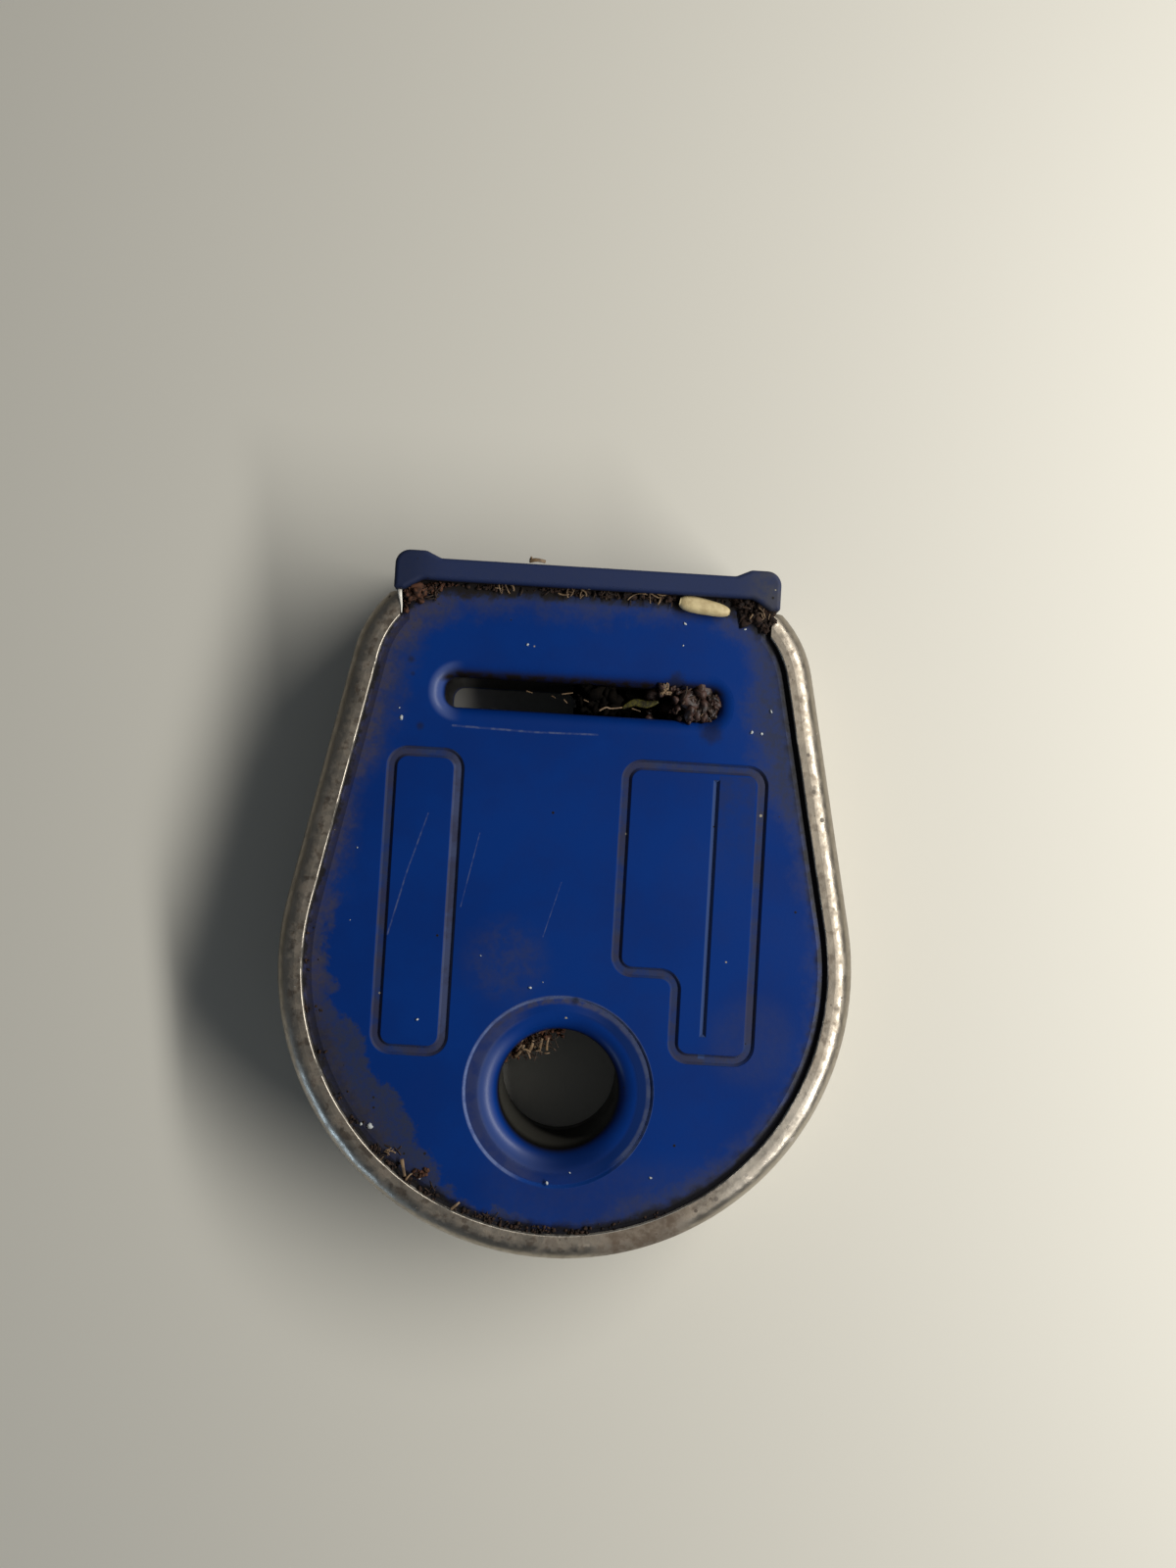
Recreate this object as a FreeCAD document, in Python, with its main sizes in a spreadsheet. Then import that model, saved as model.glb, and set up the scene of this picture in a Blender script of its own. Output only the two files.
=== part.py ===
import FreeCAD, Part
import math
import os
import re

import Sketcher
from FreeCAD import Placement, Vector

# Collar transponder for cattle: a bell-shaped plastic housing whose edge is held in a
# rolled stainless channel. A collar strap runs through the slot near the flanged end,
# and a tag or clip hangs in the round hole near the other.
#
# Frame, in millimetres: X is the width, Y runs from the round end towards the flange,
# and Z is the normal of the front face. The part lies on its back at Z = 0, with the
# origin under the middle of its length and width.

# Driving dimensions, in millimetres and degrees.
# A "drop" is measured along Y, from the flange towards the round end.
SIZES = [
    ("overall_length", 110.0),
    ("rim_height", 22.0),
    ("rim_radius", 45.5),
    ("shoulder_radius", 18.5),
    ("shoulder_crown", 3.6),
    ("neck_width", 58.8),
    ("sheet_thickness", 1.0),
    ("rim_lip", 4.2),
    ("rim_bend", 3.0),
    ("rim_gap", 0.1),
    ("lip_proud", 0.6),
    ("ledge_gap", 0.5),
    ("face_bevel", 1.0),
    ("wall_thickness", 2.4),
    ("cover_thickness", 3.0),
    ("flange_overhang", 1.0),
    ("flange_bar", 3.4),
    ("flange_end", 6.2),
    ("flange_end_rise", 1.1),
    ("flange_end_width", 6.4),
    ("flange_slope", 2.0),
    ("flange_foot_width", 1.6),
    ("flange_corner", 1.6),
    ("flange_end_corner", 2.3),
    ("flange_proud", 2.6),
    ("flange_edge", 0.7),
    ("end_wall", 1.2),
    ("slot_length", 43.5),
    ("slot_width", 4.8),
    ("slot_corner", 2.0),
    ("slot_drop", 17.1),
    ("slot_edge", 2.5),
    ("hole_diameter", 19.0),
    ("hole_depth", 19.1),
    ("hole_edge", 3.0),
    ("back_edge", 1.0),
    ("tunnel_wall", 2.0),
    ("groove_width", 1.8),
    ("groove_depth", 0.5),
    ("groove_slope", 0.4),
    ("ring_width", 2.3),
    ("ring_step", 0.4),
    ("ring_land", 0.2),
    ("ring_gap", 3.5),
    ("frame_drop", 9.0),
    ("serial_frame_width", 12.4),
    ("serial_frame_offset", 23.9),
    ("serial_frame_drop", 1.1),
    ("frame_corner", 3.4),
    ("type_frame_left", 7.0),
    ("type_frame_right", 30.4),
    ("type_notch_width", 9.6),
    ("type_notch_height", 13.1),
    ("divider_offset", 21.6),
    ("divider_inset", 3.0),
    ("divider_width", 1.1),
    ("coil_clearance", 2.5),
    ("coil_width", 4.0),
    ("coil_height", 8.0),
    ("coil_rest", 2.0),
    ("coil_rest_width", 4.0),
    ("tie_width", 6.0),
    ("tie_thickness", 0.4),
    ("board_width", 50.0),
    ("board_clearance", 5.0),
    ("board_thickness", 1.6),
    ("headroom", 1.4),
    ("peg_width", 5.0),
    ("peg_length", 3.0),
    ("peg_inset", 4.0),
    ("pin_diameter", 2.0),
    ("pin_length", 2.4),
    ("pin_clearance", 0.1),
    ("chip_length", 19.0),
    ("chip_width", 6.4),
    ("chip_thickness", 3.2),
    ("chip_lift", 0.5),
    ("chip_pitch", 2.54),
    ("chip_legs", 8),
    ("chip_row", 7.6),
    ("chip_pin", 0.6),
    ("storage_diameter", 8.0),
    ("tuning_length", 10.0),
    ("tuning_width", 5.0),
    ("tuning_height", 7.0),
    ("trimming_length", 7.2),
    ("trimming_width", 3.5),
    ("trimming_height", 6.5),
    ("diode_length", 4.3),
    ("diode_width", 2.6),
    ("diode_thickness", 2.2),
    ("diode_pitch", 4.0),
    ("diode_spread", 6.0),
    ("resistor_length", 3.2),
    ("resistor_width", 1.6),
    ("resistor_thickness", 0.6),
    ("resistor_pitch", 8.0),
    ("left_column", 10.0),
    ("right_column", 12.0),
    ("trimming_column", 2.0),
    ("lead_diameter", 0.7),
    ("lead_rise", 2.0),
    ("lead_spacing", 6.0),
    ("joint_diameter", 2.8),
    ("joint_height", 0.8),
]

# Lengths that follow from the driving dimensions.
DERIVED = {
    "half_length": "overall_length / 2",
    "centre_y": "rim_radius - half_length",
    "neck_half": "neck_width / 2",
    "flange_top": "half_length - flange_end_rise",
    "flange_bottom": "flange_top - flange_bar",
    "flange_foot": "half_length - flange_end",
    "shoulder_x": "neck_half - sqrt(2 * shoulder_radius * shoulder_crown - shoulder_crown ^ 2)",
    "shoulder_y": "flange_bottom + shoulder_crown - shoulder_radius",
    "front_face": "rim_height - lip_proud",
    "front_ledge": "rim_height - sheet_thickness",
    "back_face": "lip_proud",
    "back_ledge": "sheet_thickness",
    "seam": "back_ledge + cover_thickness",
    "cavity_roof": "front_face - wall_thickness",
    "seat_inset": "sheet_thickness + rim_gap",
    "cavity_inset": "seat_inset + wall_thickness",
    "bevel_inset": "rim_lip + ledge_gap",
    "flange_half": "neck_half + flange_overhang",
    "flange_front": "front_face + flange_proud",
    "lump_x": "flange_half - flange_end_width",
    "cavity_top": "flange_bottom - end_wall",
    "cover_top": "flange_foot - rim_gap",
    "slot_y": "flange_bottom - slot_drop",
    "hole_y": "centre_y - hole_depth",
    "groove_floor": "front_face - groove_depth",
    "ring_inner": "hole_diameter / 2 + hole_edge + ring_land",
    "ring_radius": "ring_inner + ring_width",
    "frames_top": "slot_y - frame_drop",
    "type_notch_x": "type_frame_left + type_notch_width",
    "type_notch_y": "hole_y + ring_radius + ring_gap",
    "type_bottom": "type_notch_y - type_notch_height",
    "serial_bottom": "type_bottom - serial_frame_drop",
    "serial_length": "frames_top - serial_bottom",
    "serial_y": "(frames_top + serial_bottom) / 2",
    "coil_bottom": "seam + coil_rest",
    "coil_outer": "cavity_inset + coil_clearance",
    "coil_inner": "coil_outer + coil_width",
    "coil_middle": "coil_outer + coil_width / 2",
    "board_high": "slot_y - slot_width / 2 - tunnel_wall - board_clearance",
    "board_low": "hole_y + hole_diameter / 2 + tunnel_wall + board_clearance",
    "board_length": "board_high - board_low",
    "board_y": "(board_high + board_low) / 2",
    "board_bottom": "seam + peg_length",
    "board_top": "board_bottom + board_thickness",
    "peg_x": "board_width / 2 - peg_inset",
    "peg_y": "board_length / 2 - peg_inset",
    "upper_row": "board_length / 4",
    "middle_row": "board_length / 12",
    "lower_row": "board_length * 3 / 10",
    "storage_length": "cavity_roof - headroom - board_top",
}

doc = FreeCAD.newDocument("collar_transponder")
sheet = doc.addObject("Spreadsheet::Sheet", "Sizes")
for row, (alias, size) in enumerate(SIZES, start=1):
    sheet.set("A%d" % row, alias.replace("_", " "))
    sheet.set("B%d" % row, str(size))
    sheet.setAlias("B%d" % row, alias)
doc.recompute()
ALIASES = {alias for alias, size in SIZES}
SUB_PARTS = []

# How far apart two places may be and still count as the same, in millimetres.
NEAR = 0.01


def formula(text):
    """An expression on the sheet, with the derived names written out."""
    def expand(match):
        word = match.group(0)
        if word in DERIVED:
            return "(" + formula(DERIVED[word]) + ")"
        if word in ALIASES:
            return "Sizes." + word
        return word
    return re.sub(r"[a-z_]+", expand, text)


def number(text):
    """The present value of an expression on the sheet."""
    return float(sheet.evalExpression(formula(text)))


def bind(item, path, text):
    """Tie a property or a constraint to an expression on the sheet."""
    item.setExpression(path, formula(text))


def new_body(label):
    """An empty sub-part, whose label is also the name of its file."""
    body = doc.addObject("PartDesign::Body", label)
    body.Label = label
    SUB_PARTS.append(body)
    return body


def new_sketch(body, name, level="0", role="XY_Plane"):
    """A sketch on one of the body's own planes, raised to a level."""
    plane = [item for item in body.Origin.OriginFeatures if item.Role == role][0]
    sketch = body.newObject("Sketcher::SketchObject", name)
    sketch.AttachmentSupport = [(plane, "")]
    sketch.MapMode = "FlatFace"
    bind(sketch, "AttachmentOffset.Base.z", level)
    return sketch


def constrain(sketch, kind, *places, size=None):
    """Add one constraint, tied to the sheet where it has a size."""
    if size is None:
        return sketch.addConstraint(Sketcher.Constraint(kind, *places))
    index = sketch.addConstraint(Sketcher.Constraint(kind, *places, number(size)))
    bind(sketch, "Constraints[%d]" % index, size)
    return index


def place_point(sketch, item, end, across, up):
    """Fix a point of the sketch by its two distances from the origin."""
    constrain(sketch, "DistanceX", -1, 1, item, end, size=across)
    constrain(sketch, "DistanceY", -1, 1, item, end, size=up)


def add_circle(sketch, across, up, radius):
    """A circle by its centre and radius."""
    centre = Vector(number(across), number(up), 0)
    item = sketch.addGeometry(Part.Circle(centre, Vector(0, 0, 1), number(radius)))
    place_point(sketch, item, 3, across, up)
    constrain(sketch, "Radius", item, size=radius)


def arc_between(centre, radius, first, last):
    """The arc that runs anticlockwise from one point to another."""
    start = math.atan2(first.y - centre.y, first.x - centre.x)
    stop = math.atan2(last.y - centre.y, last.x - centre.x)
    return Part.ArcOfCircle(Part.Circle(centre, Vector(0, 0, 1), radius), start, stop)


def add_loop(sketch, corners):
    """A closed outline through corners given as (across, up, radius or None).

    A rounded corner keeps its sharp point as a construction point, which carries the
    dimensions, and its arc is tangent to the two sides.
    """
    count = len(corners)
    points = [Vector(number(across), number(up), 0) for across, up, radius in corners]
    arrive, leave, arcs = [], [], []
    for index, (across, up, radius) in enumerate(corners):
        point = points[index]
        back = (points[index - 1] - point).normalize()
        ahead = (points[(index + 1) % count] - point).normalize()
        if radius is None:
            arrive.append(point)
            leave.append(point)
            arcs.append(None)
            continue
        half = back.getAngle(ahead) / 2
        trim = number(radius) / math.tan(half)
        centre = point + (back + ahead).normalize() * (number(radius) / math.sin(half))
        arrive.append(point + back * trim)
        leave.append(point + ahead * trim)
        left_turn = back.cross(ahead).z < 0
        ends = (arrive[index], leave[index]) if left_turn else (leave[index], arrive[index])
        arcs.append((arc_between(centre, number(radius), *ends), left_turn))
    lines = []
    for index in range(count):
        side = Part.LineSegment(leave[index], arrive[(index + 1) % count])
        lines.append(sketch.addGeometry(side))
    for index, (across, up, radius) in enumerate(corners):
        before, after = lines[index - 1], lines[index]
        if radius is None:
            constrain(sketch, "Coincident", before, 2, after, 1)
            place_point(sketch, after, 1, across, up)
            continue
        shape, left_turn = arcs[index]
        arc = sketch.addGeometry(shape)
        first, last = (1, 2) if left_turn else (2, 1)
        constrain(sketch, "Tangent", before, 2, arc, first)
        constrain(sketch, "Tangent", arc, last, after, 1)
        constrain(sketch, "Radius", arc, size=radius)
        mark = sketch.addGeometry(Part.Point(points[index]), True)
        constrain(sketch, "PointOnObject", mark, 1, before)
        constrain(sketch, "PointOnObject", mark, 1, after)
        place_point(sketch, mark, 1, across, up)


def add_rectangle(sketch, across, up, width, height, corner=None):
    """A rectangle about a centre, with rounded corners where a radius is given."""
    left = "(%s) - (%s) / 2" % (across, width)
    right = "(%s) + (%s) / 2" % (across, width)
    low = "(%s) - (%s) / 2" % (up, height)
    high = "(%s) + (%s) / 2" % (up, height)
    add_loop(sketch, [(left, low, corner), (right, low, corner),
                      (right, high, corner), (left, high, corner)])


def side_normal():
    """The outward direction of the right side, which is tangent to both its arcs."""
    reach = Vector(number("shoulder_x"), number("shoulder_y - centre_y"), 0)
    lean = math.acos(number("rim_radius - shoulder_radius") / reach.Length)
    turn = math.atan2(reach.y, reach.x) - lean
    return Vector(math.cos(turn), math.sin(turn), 0)


def add_outline(sketch, inset, top=None, neck=None):
    """The bell outline of the product, moved inwards by an inset.

    A big arc at the round end and two shoulder arcs are joined by their common
    tangents. With no top the shoulders run on into a straight side across the end.
    With a top they are cut there, and with a neck too they end in upright sides.
    """
    centre = Vector(0, number("centre_y"), 0)
    radius = number("rim_radius - (%s)" % inset)
    shoulder = Vector(number("shoulder_x"), number("shoulder_y"), 0)
    bend = number("shoulder_radius - (%s)" % inset)
    normal = side_normal()
    low = centre + normal * radius
    high = shoulder + normal * bend
    if neck is not None:
        rise = math.sqrt(bend ** 2 - (number(neck) - shoulder.x) ** 2)
        end = Vector(number(neck), shoulder.y + rise, 0)
        crown = Vector(number(neck), number(top), 0)
    elif top is not None:
        reach = math.sqrt(bend ** 2 - (number(top) - shoulder.y) ** 2)
        end = Vector(shoulder.x + reach, number(top), 0)
        crown = end
    else:
        end = shoulder + Vector(0, bend, 0)
        crown = end

    def mirror(point):
        return Vector(-point.x, point.y, 0)

    base = sketch.addGeometry(arc_between(centre, radius, mirror(low), low))
    right_side = sketch.addGeometry(Part.LineSegment(low, high))
    right_arc = sketch.addGeometry(arc_between(shoulder, bend, high, end))
    left_side = sketch.addGeometry(Part.LineSegment(mirror(high), mirror(low)))
    left_arc = sketch.addGeometry(
        arc_between(mirror(shoulder), bend, mirror(end), mirror(high)))
    across = sketch.addGeometry(Part.LineSegment(crown, mirror(crown)))
    constrain(sketch, "Tangent", base, 2, right_side, 1)
    constrain(sketch, "Tangent", right_side, 2, right_arc, 1)
    constrain(sketch, "Tangent", left_arc, 2, left_side, 1)
    constrain(sketch, "Tangent", left_side, 2, base, 1)
    place_point(sketch, base, 3, "0", "centre_y")
    constrain(sketch, "Radius", base, size="rim_radius - (%s)" % inset)
    place_point(sketch, right_arc, 3, "shoulder_x", "shoulder_y")
    constrain(sketch, "Radius", right_arc, size="shoulder_radius - (%s)" % inset)
    constrain(sketch, "Symmetric", right_arc, 3, left_arc, 3, -2)
    constrain(sketch, "Equal", right_arc, left_arc)
    if top is None:
        constrain(sketch, "Tangent", right_arc, 2, across, 1)
        constrain(sketch, "Tangent", across, 2, left_arc, 1)
        return
    if neck is None:
        constrain(sketch, "Coincident", right_arc, 2, across, 1)
        constrain(sketch, "Coincident", across, 2, left_arc, 1)
        constrain(sketch, "Horizontal", across)
        constrain(sketch, "DistanceY", -1, 1, across, 1, size=top)
        return
    right_neck = sketch.addGeometry(Part.LineSegment(end, crown))
    left_neck = sketch.addGeometry(Part.LineSegment(mirror(crown), mirror(end)))
    constrain(sketch, "Coincident", right_arc, 2, right_neck, 1)
    constrain(sketch, "Coincident", right_neck, 2, across, 1)
    constrain(sketch, "Coincident", across, 2, left_neck, 1)
    constrain(sketch, "Coincident", left_neck, 2, left_arc, 1)
    constrain(sketch, "Vertical", right_neck)
    constrain(sketch, "Vertical", left_neck)
    constrain(sketch, "Symmetric", across, 1, across, 2, -2)
    place_point(sketch, across, 1, neck, top)


def pad(body, sketch, name, length):
    """Raise a sketch into the body."""
    feature = body.newObject("PartDesign::Pad", name)
    feature.Profile = sketch
    bind(feature, "Length", length)
    doc.recompute()
    return feature


def pocket(body, sketch, name, length=None):
    """Cut a sketch upwards out of the body, by a depth or through all of it."""
    before = body.Shape.Volume
    feature = body.newObject("PartDesign::Pocket", name)
    feature.Profile = sketch
    feature.Reversed = True
    if length is None:
        feature.Type = "ThroughAll"
        feature.Midplane = True
    else:
        bind(feature, "Length", length)
    doc.recompute()
    if feature.Shape.Volume > before - NEAR:
        raise RuntimeError("%s cuts nothing" % name)
    return feature


def finish_edges(body, name, kind, size, chosen):
    """Fillet or chamfer the edges of the body's last feature that a test picks out."""
    base = body.Tip
    names = ["Edge%d" % (index + 1) for index, edge in enumerate(base.Shape.Edges)
             if chosen(edge)]
    feature = body.newObject("PartDesign::" + kind, name)
    feature.Base = (base, names)
    bind(feature, {"Fillet": "Radius", "Chamfer": "Size"}[kind], size)
    doc.recompute()
    return feature


def lies_at(edge, level):
    """True for an edge that lies flat at a height."""
    height = number(level)
    box = edge.BoundBox
    return abs(box.ZMin - height) < NEAR and abs(box.ZMax - height) < NEAR


def inside(edge, left, right, low, high):
    """True for an edge within a rectangle, seen from above."""
    box = edge.BoundBox
    return left < box.XMin and box.XMax < right and low < box.YMin and box.YMax < high


def around_slot(edge):
    """True for an edge of the strap slot."""
    half = number("slot_length / 2 + tunnel_wall")
    middle = number("slot_y")
    rise = number("slot_width / 2 + tunnel_wall")
    return inside(edge, -half, half, middle - rise, middle + rise)


def around_hole(edge):
    """True for an edge of the round hole."""
    half = number("hole_diameter / 2 + tunnel_wall")
    middle = number("hole_y")
    return inside(edge, -half, half, middle - half, middle + half)


def add_slot(sketch, margin="0"):
    """The strap slot's outline, or the outline of the wall around it."""
    add_rectangle(sketch, "0", "slot_y", "slot_length + 2 * (%s)" % margin,
                  "slot_width + 2 * (%s)" % margin, "slot_corner + (%s)" % margin)


def add_hole(sketch, margin="0"):
    """The round hole's outline, or the outline of the wall around it."""
    add_circle(sketch, "0", "hole_y", "hole_diameter / 2 + (%s)" % margin)


def cut_openings(body, level, height, edge_level, kind, slot_size, hole_size):
    """Cut the slot and the hole through a shell and finish their outer edges."""
    openings = new_sketch(body, "openings", level)
    add_slot(openings)
    add_hole(openings)
    pocket(body, openings, "cut_openings", height)
    finish_edges(body, "slot_mouth", kind, slot_size,
                 lambda edge: lies_at(edge, edge_level) and around_slot(edge))
    finish_edges(body, "hole_mouth", kind, hole_size,
                 lambda edge: lies_at(edge, edge_level) and around_hole(edge))


def add_plateau(body, low_level, low_inset, low_neck, low_top,
                high_level, high_inset, high_neck, high_top):
    """The raised middle of a face, with a sloping edge down to the ledge for the lip."""
    foot = new_sketch(body, "plateau_foot", low_level)
    add_outline(foot, low_inset, low_top, low_neck)
    crown = new_sketch(body, "plateau_crown", high_level)
    add_outline(crown, high_inset, high_top, high_neck)
    plateau = body.newObject("PartDesign::AdditiveLoft", "plateau")
    plateau.Profile = foot
    plateau.Sections = [crown]
    plateau.Ruled = True
    doc.recompute()


# Front housing: a deep moulded shell with the flange, the two tunnels and sunk frames.
def make_front_housing():
    body = new_body("front_housing")
    blank = new_sketch(body, "blank", "seam")
    add_outline(blank, "seat_inset", "flange_bottom")
    pad(body, blank, "shell", "front_ledge - seam")
    top_edge = number("flange_bottom") - NEAR
    finish_edges(body, "shell_edge", "Chamfer", "rim_bend - sheet_thickness",
                 lambda edge: lies_at(edge, "front_ledge") and edge.BoundBox.YMin < top_edge)
    add_plateau(body, "front_ledge", "bevel_inset", "neck_half - ledge_gap", "flange_bottom + end_wall",
                "front_face", "bevel_inset + face_bevel", "neck_half - ledge_gap - face_bevel",
                "flange_bottom + end_wall")
    add_flange(body)
    hollow = new_sketch(body, "hollow", "seam")
    add_outline(hollow, "cavity_inset", "cavity_top", "neck_half - wall_thickness")
    add_slot(hollow, "tunnel_wall")
    add_hole(hollow, "tunnel_wall")
    pocket(body, hollow, "cavity", "cavity_roof - seam")
    cut_frames(body)
    cut_openings(body, "seam", "rim_height", "front_face", "Fillet", "slot_edge", "hole_edge")
    cut_ring(body)
    return body


def add_flange(body):
    """The cross bar with thick ends, whose feet close the ends of the steel strip."""
    wall = new_sketch(body, "end_wall_outline", "back_ledge")
    wall_half = "neck_half - ledge_gap"
    add_loop(wall, [("-(%s)" % wall_half, "flange_foot", None), (wall_half, "flange_foot", None),
                    (wall_half, "flange_top - end_wall", None),
                    ("-(%s)" % wall_half, "flange_top - end_wall", None)])
    pad(body, wall, "end_wall", "front_ledge - back_ledge")
    outline = new_sketch(body, "flange_outline", "0")
    right = [
        ("lump_x + flange_slope", "flange_bottom", "flange_corner"),
        ("flange_half - flange_foot_width", "flange_foot", "flange_corner / 2"),
        ("flange_half", "flange_foot", "flange_corner / 4"),
        ("flange_half", "half_length", "flange_end_corner"),
        ("lump_x + flange_corner", "half_length", "flange_corner"),
        ("lump_x - flange_corner / 2", "flange_top", "flange_corner"),
    ]
    left = [("-(%s)" % across, up, corner) for across, up, corner in reversed(right)]
    add_loop(outline, right + left)
    pad(body, outline, "flange", "flange_front")
    reach = number("flange_foot") - NEAR
    finish_edges(body, "flange_edge", "Fillet", "flange_edge",
                 lambda edge: lies_at(edge, "flange_front") and edge.BoundBox.YMin > reach)
    return body


def cut_frames(body):
    """The two frames and the divider, which are sunk lines with sloping sides."""
    lines = new_sketch(body, "frame_lines", "groove_floor")
    for inset in ("groove_slope", "groove_width - groove_slope"):
        add_rectangle(lines, "-serial_frame_offset", "serial_y",
                      "serial_frame_width - 2 * (%s)" % inset, "serial_length - 2 * (%s)" % inset,
                      "frame_corner - (%s)" % inset)
        add_stepped_frame(lines, inset)
    left = "divider_offset + groove_slope"
    right = "divider_offset + divider_width - groove_slope"
    low = "type_bottom + groove_width + divider_inset"
    high = "frames_top - divider_inset"
    add_loop(lines, [(left, low, None), (right, low, None), (right, high, None), (left, high, None)])
    pocket(body, lines, "sunk_lines", "groove_depth")
    reach = number("type_frame_right")
    bottom = number("serial_bottom")
    top = number("frames_top")
    finish_edges(body, "line_slopes", "Chamfer", "groove_slope",
                 lambda edge: lies_at(edge, "front_face") and inside(edge, -reach, reach, bottom, top))


def cut_ring(body):
    """The ring round the hole: a turned groove, deepest beside its steep outer side."""
    profile = new_sketch(body, "ring_profile", "-(hole_y)", "XZ_Plane")
    add_loop(profile, [("ring_inner", "front_face", None),
                       ("ring_radius - ring_step", "groove_floor", None),
                       ("ring_radius", "front_face", None)])
    ring = body.newObject("PartDesign::Groove", "ring")
    ring.Profile = profile
    ring.ReferenceAxis = (profile, ["V_Axis"])
    ring.Angle = 360
    doc.recompute()


def add_stepped_frame(sketch, inset):
    """The outline of the frame with a corner left out, moved inwards by an inset."""
    convex = "frame_corner - (%s)" % inset
    left = "type_frame_left + (%s)" % inset
    right = "type_frame_right - (%s)" % inset
    notch_x = "type_notch_x + (%s)" % inset
    notch_y = "type_notch_y + (%s)" % inset
    low = "type_bottom + (%s)" % inset
    high = "frames_top - (%s)" % inset
    add_loop(sketch, [(notch_x, low, convex), (right, low, convex), (right, high, convex),
                      (left, high, convex), (left, notch_y, convex),
                      (notch_x, notch_y, "frame_corner - groove_width + (%s)" % inset)])


# Back cover: a plate clamped under the strip, with pegs for the board and rests for the coil.
def make_back_cover():
    body = new_body("back_cover")
    blank = new_sketch(body, "blank", "back_ledge")
    add_outline(blank, "seat_inset", "cover_top")
    pad(body, blank, "plate", "cover_thickness")
    top_edge = number("cover_top") - NEAR
    finish_edges(body, "plate_edge", "Chamfer", "rim_bend - sheet_thickness",
                 lambda edge: lies_at(edge, "back_ledge") and edge.BoundBox.YMin < top_edge)
    add_plateau(body, "back_face", "bevel_inset + face_bevel",
                "neck_half - ledge_gap - face_bevel", "cover_top - face_bevel",
                "back_ledge", "bevel_inset", "neck_half - ledge_gap", "cover_top")
    pegs = new_sketch(body, "pegs", "seam")
    pins = new_sketch(body, "pins", "board_bottom")
    for across, up in peg_places():
        add_rectangle(pegs, across, up, "peg_width", "peg_width")
        add_circle(pins, across, up, "pin_diameter / 2")
    pad(body, pegs, "board_pegs", "peg_length")
    pad(body, pins, "locating_pins", "pin_length")
    rests = new_sketch(body, "rests", "seam")
    for across, up in rest_places():
        add_rectangle(rests, across, up, "coil_rest_width", "coil_rest_width")
    pad(body, rests, "coil_rests", "coil_rest")
    cut_openings(body, "back_face", "cover_thickness + sheet_thickness", "back_face",
                 "Chamfer", "back_edge", "back_edge")
    return body


def peg_places():
    """The four corners of the board where its pegs stand."""
    return [(side + "peg_x", "board_y" + end + "peg_y")
            for side in ("-", "0 + ") for end in (" - ", " + ")]


def rest_places():
    """Four points on the middle of the winding: two on the round end, two on the shoulders."""
    round_x = "(rim_radius - coil_middle) * cos(45 deg)"
    round_y = "centre_y - (rim_radius - coil_middle) * sin(45 deg)"
    side_x = "shoulder_x + (shoulder_radius - coil_middle) * cos(45 deg)"
    side_y = "shoulder_y + (shoulder_radius - coil_middle) * sin(45 deg)"
    return [("-(%s)" % round_x, round_y), (round_x, round_y),
            ("-(%s)" % side_x, side_y), (side_x, side_y)]


# Steel rim: one strip of channel section, rolled round the edge from foot to foot.
def make_steel_rim():
    body = new_body("steel_rim")
    path = new_sketch(body, "path")
    centre = Vector(0, number("centre_y"), 0)
    shoulder = Vector(number("shoulder_x"), number("shoulder_y"), 0)
    normal = side_normal()
    radius = number("rim_radius")
    bend = number("shoulder_radius")
    start = centre - Vector(0, radius, 0)
    low = centre + normal * radius
    high = shoulder + normal * bend
    reach = math.sqrt(bend ** 2 - (number("flange_bottom") - shoulder.y) ** 2)
    end = Vector(shoulder.x + reach, number("flange_bottom"), 0)
    arc = path.addGeometry(arc_between(centre, radius, start, low))
    side = path.addGeometry(Part.LineSegment(low, high))
    turn = path.addGeometry(arc_between(shoulder, bend, high, end))
    place_point(path, arc, 3, "0", "centre_y")
    constrain(path, "Radius", arc, size="rim_radius")
    constrain(path, "PointOnObject", arc, 1, -2)
    constrain(path, "Tangent", arc, 2, side, 1)
    constrain(path, "Tangent", side, 2, turn, 1)
    place_point(path, turn, 3, "shoulder_x", "shoulder_y")
    constrain(path, "Radius", turn, size="shoulder_radius")
    constrain(path, "DistanceY", -1, 1, turn, 2, size="flange_bottom")
    section = new_sketch(body, "section", "0", "YZ_Plane")
    add_loop(section, [
        ("rim_lip - half_length", "0", None),
        ("rim_lip - half_length", "sheet_thickness", None),
        ("rim_bend - half_length", "sheet_thickness", None),
        ("sheet_thickness - half_length", "rim_bend", None),
        ("sheet_thickness - half_length", "rim_height - rim_bend", None),
        ("rim_bend - half_length", "front_ledge", None),
        ("rim_lip - half_length", "front_ledge", None),
        ("rim_lip - half_length", "rim_height", None),
        ("-half_length", "rim_height", "rim_bend"),
        ("-half_length", "0", "rim_bend")])
    doc.recompute()
    strip = body.newObject("PartDesign::AdditivePipe", "half_strip")
    strip.Profile = section
    strip.Spine = path
    doc.recompute()
    mirror = body.newObject("PartDesign::Mirrored", "both_halves")
    mirror.Originals = [strip]
    plane = [item for item in body.Origin.OriginFeatures if item.Role == "YZ_Plane"][0]
    mirror.MirrorPlane = (plane, [""])
    body.Tip = mirror
    doc.recompute()
    trim = new_sketch(body, "trim")
    add_loop(trim, [
        ("-neck_half", "shoulder_y", None), ("neck_half", "shoulder_y", None),
        ("neck_half", "cover_top", None), ("rim_radius", "cover_top", None),
        ("rim_radius", "overall_length", None), ("-rim_radius", "overall_length", None),
        ("-rim_radius", "cover_top", None), ("-neck_half", "cover_top", None)])
    pocket(body, trim, "trimmed_ends")
    return body


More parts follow.
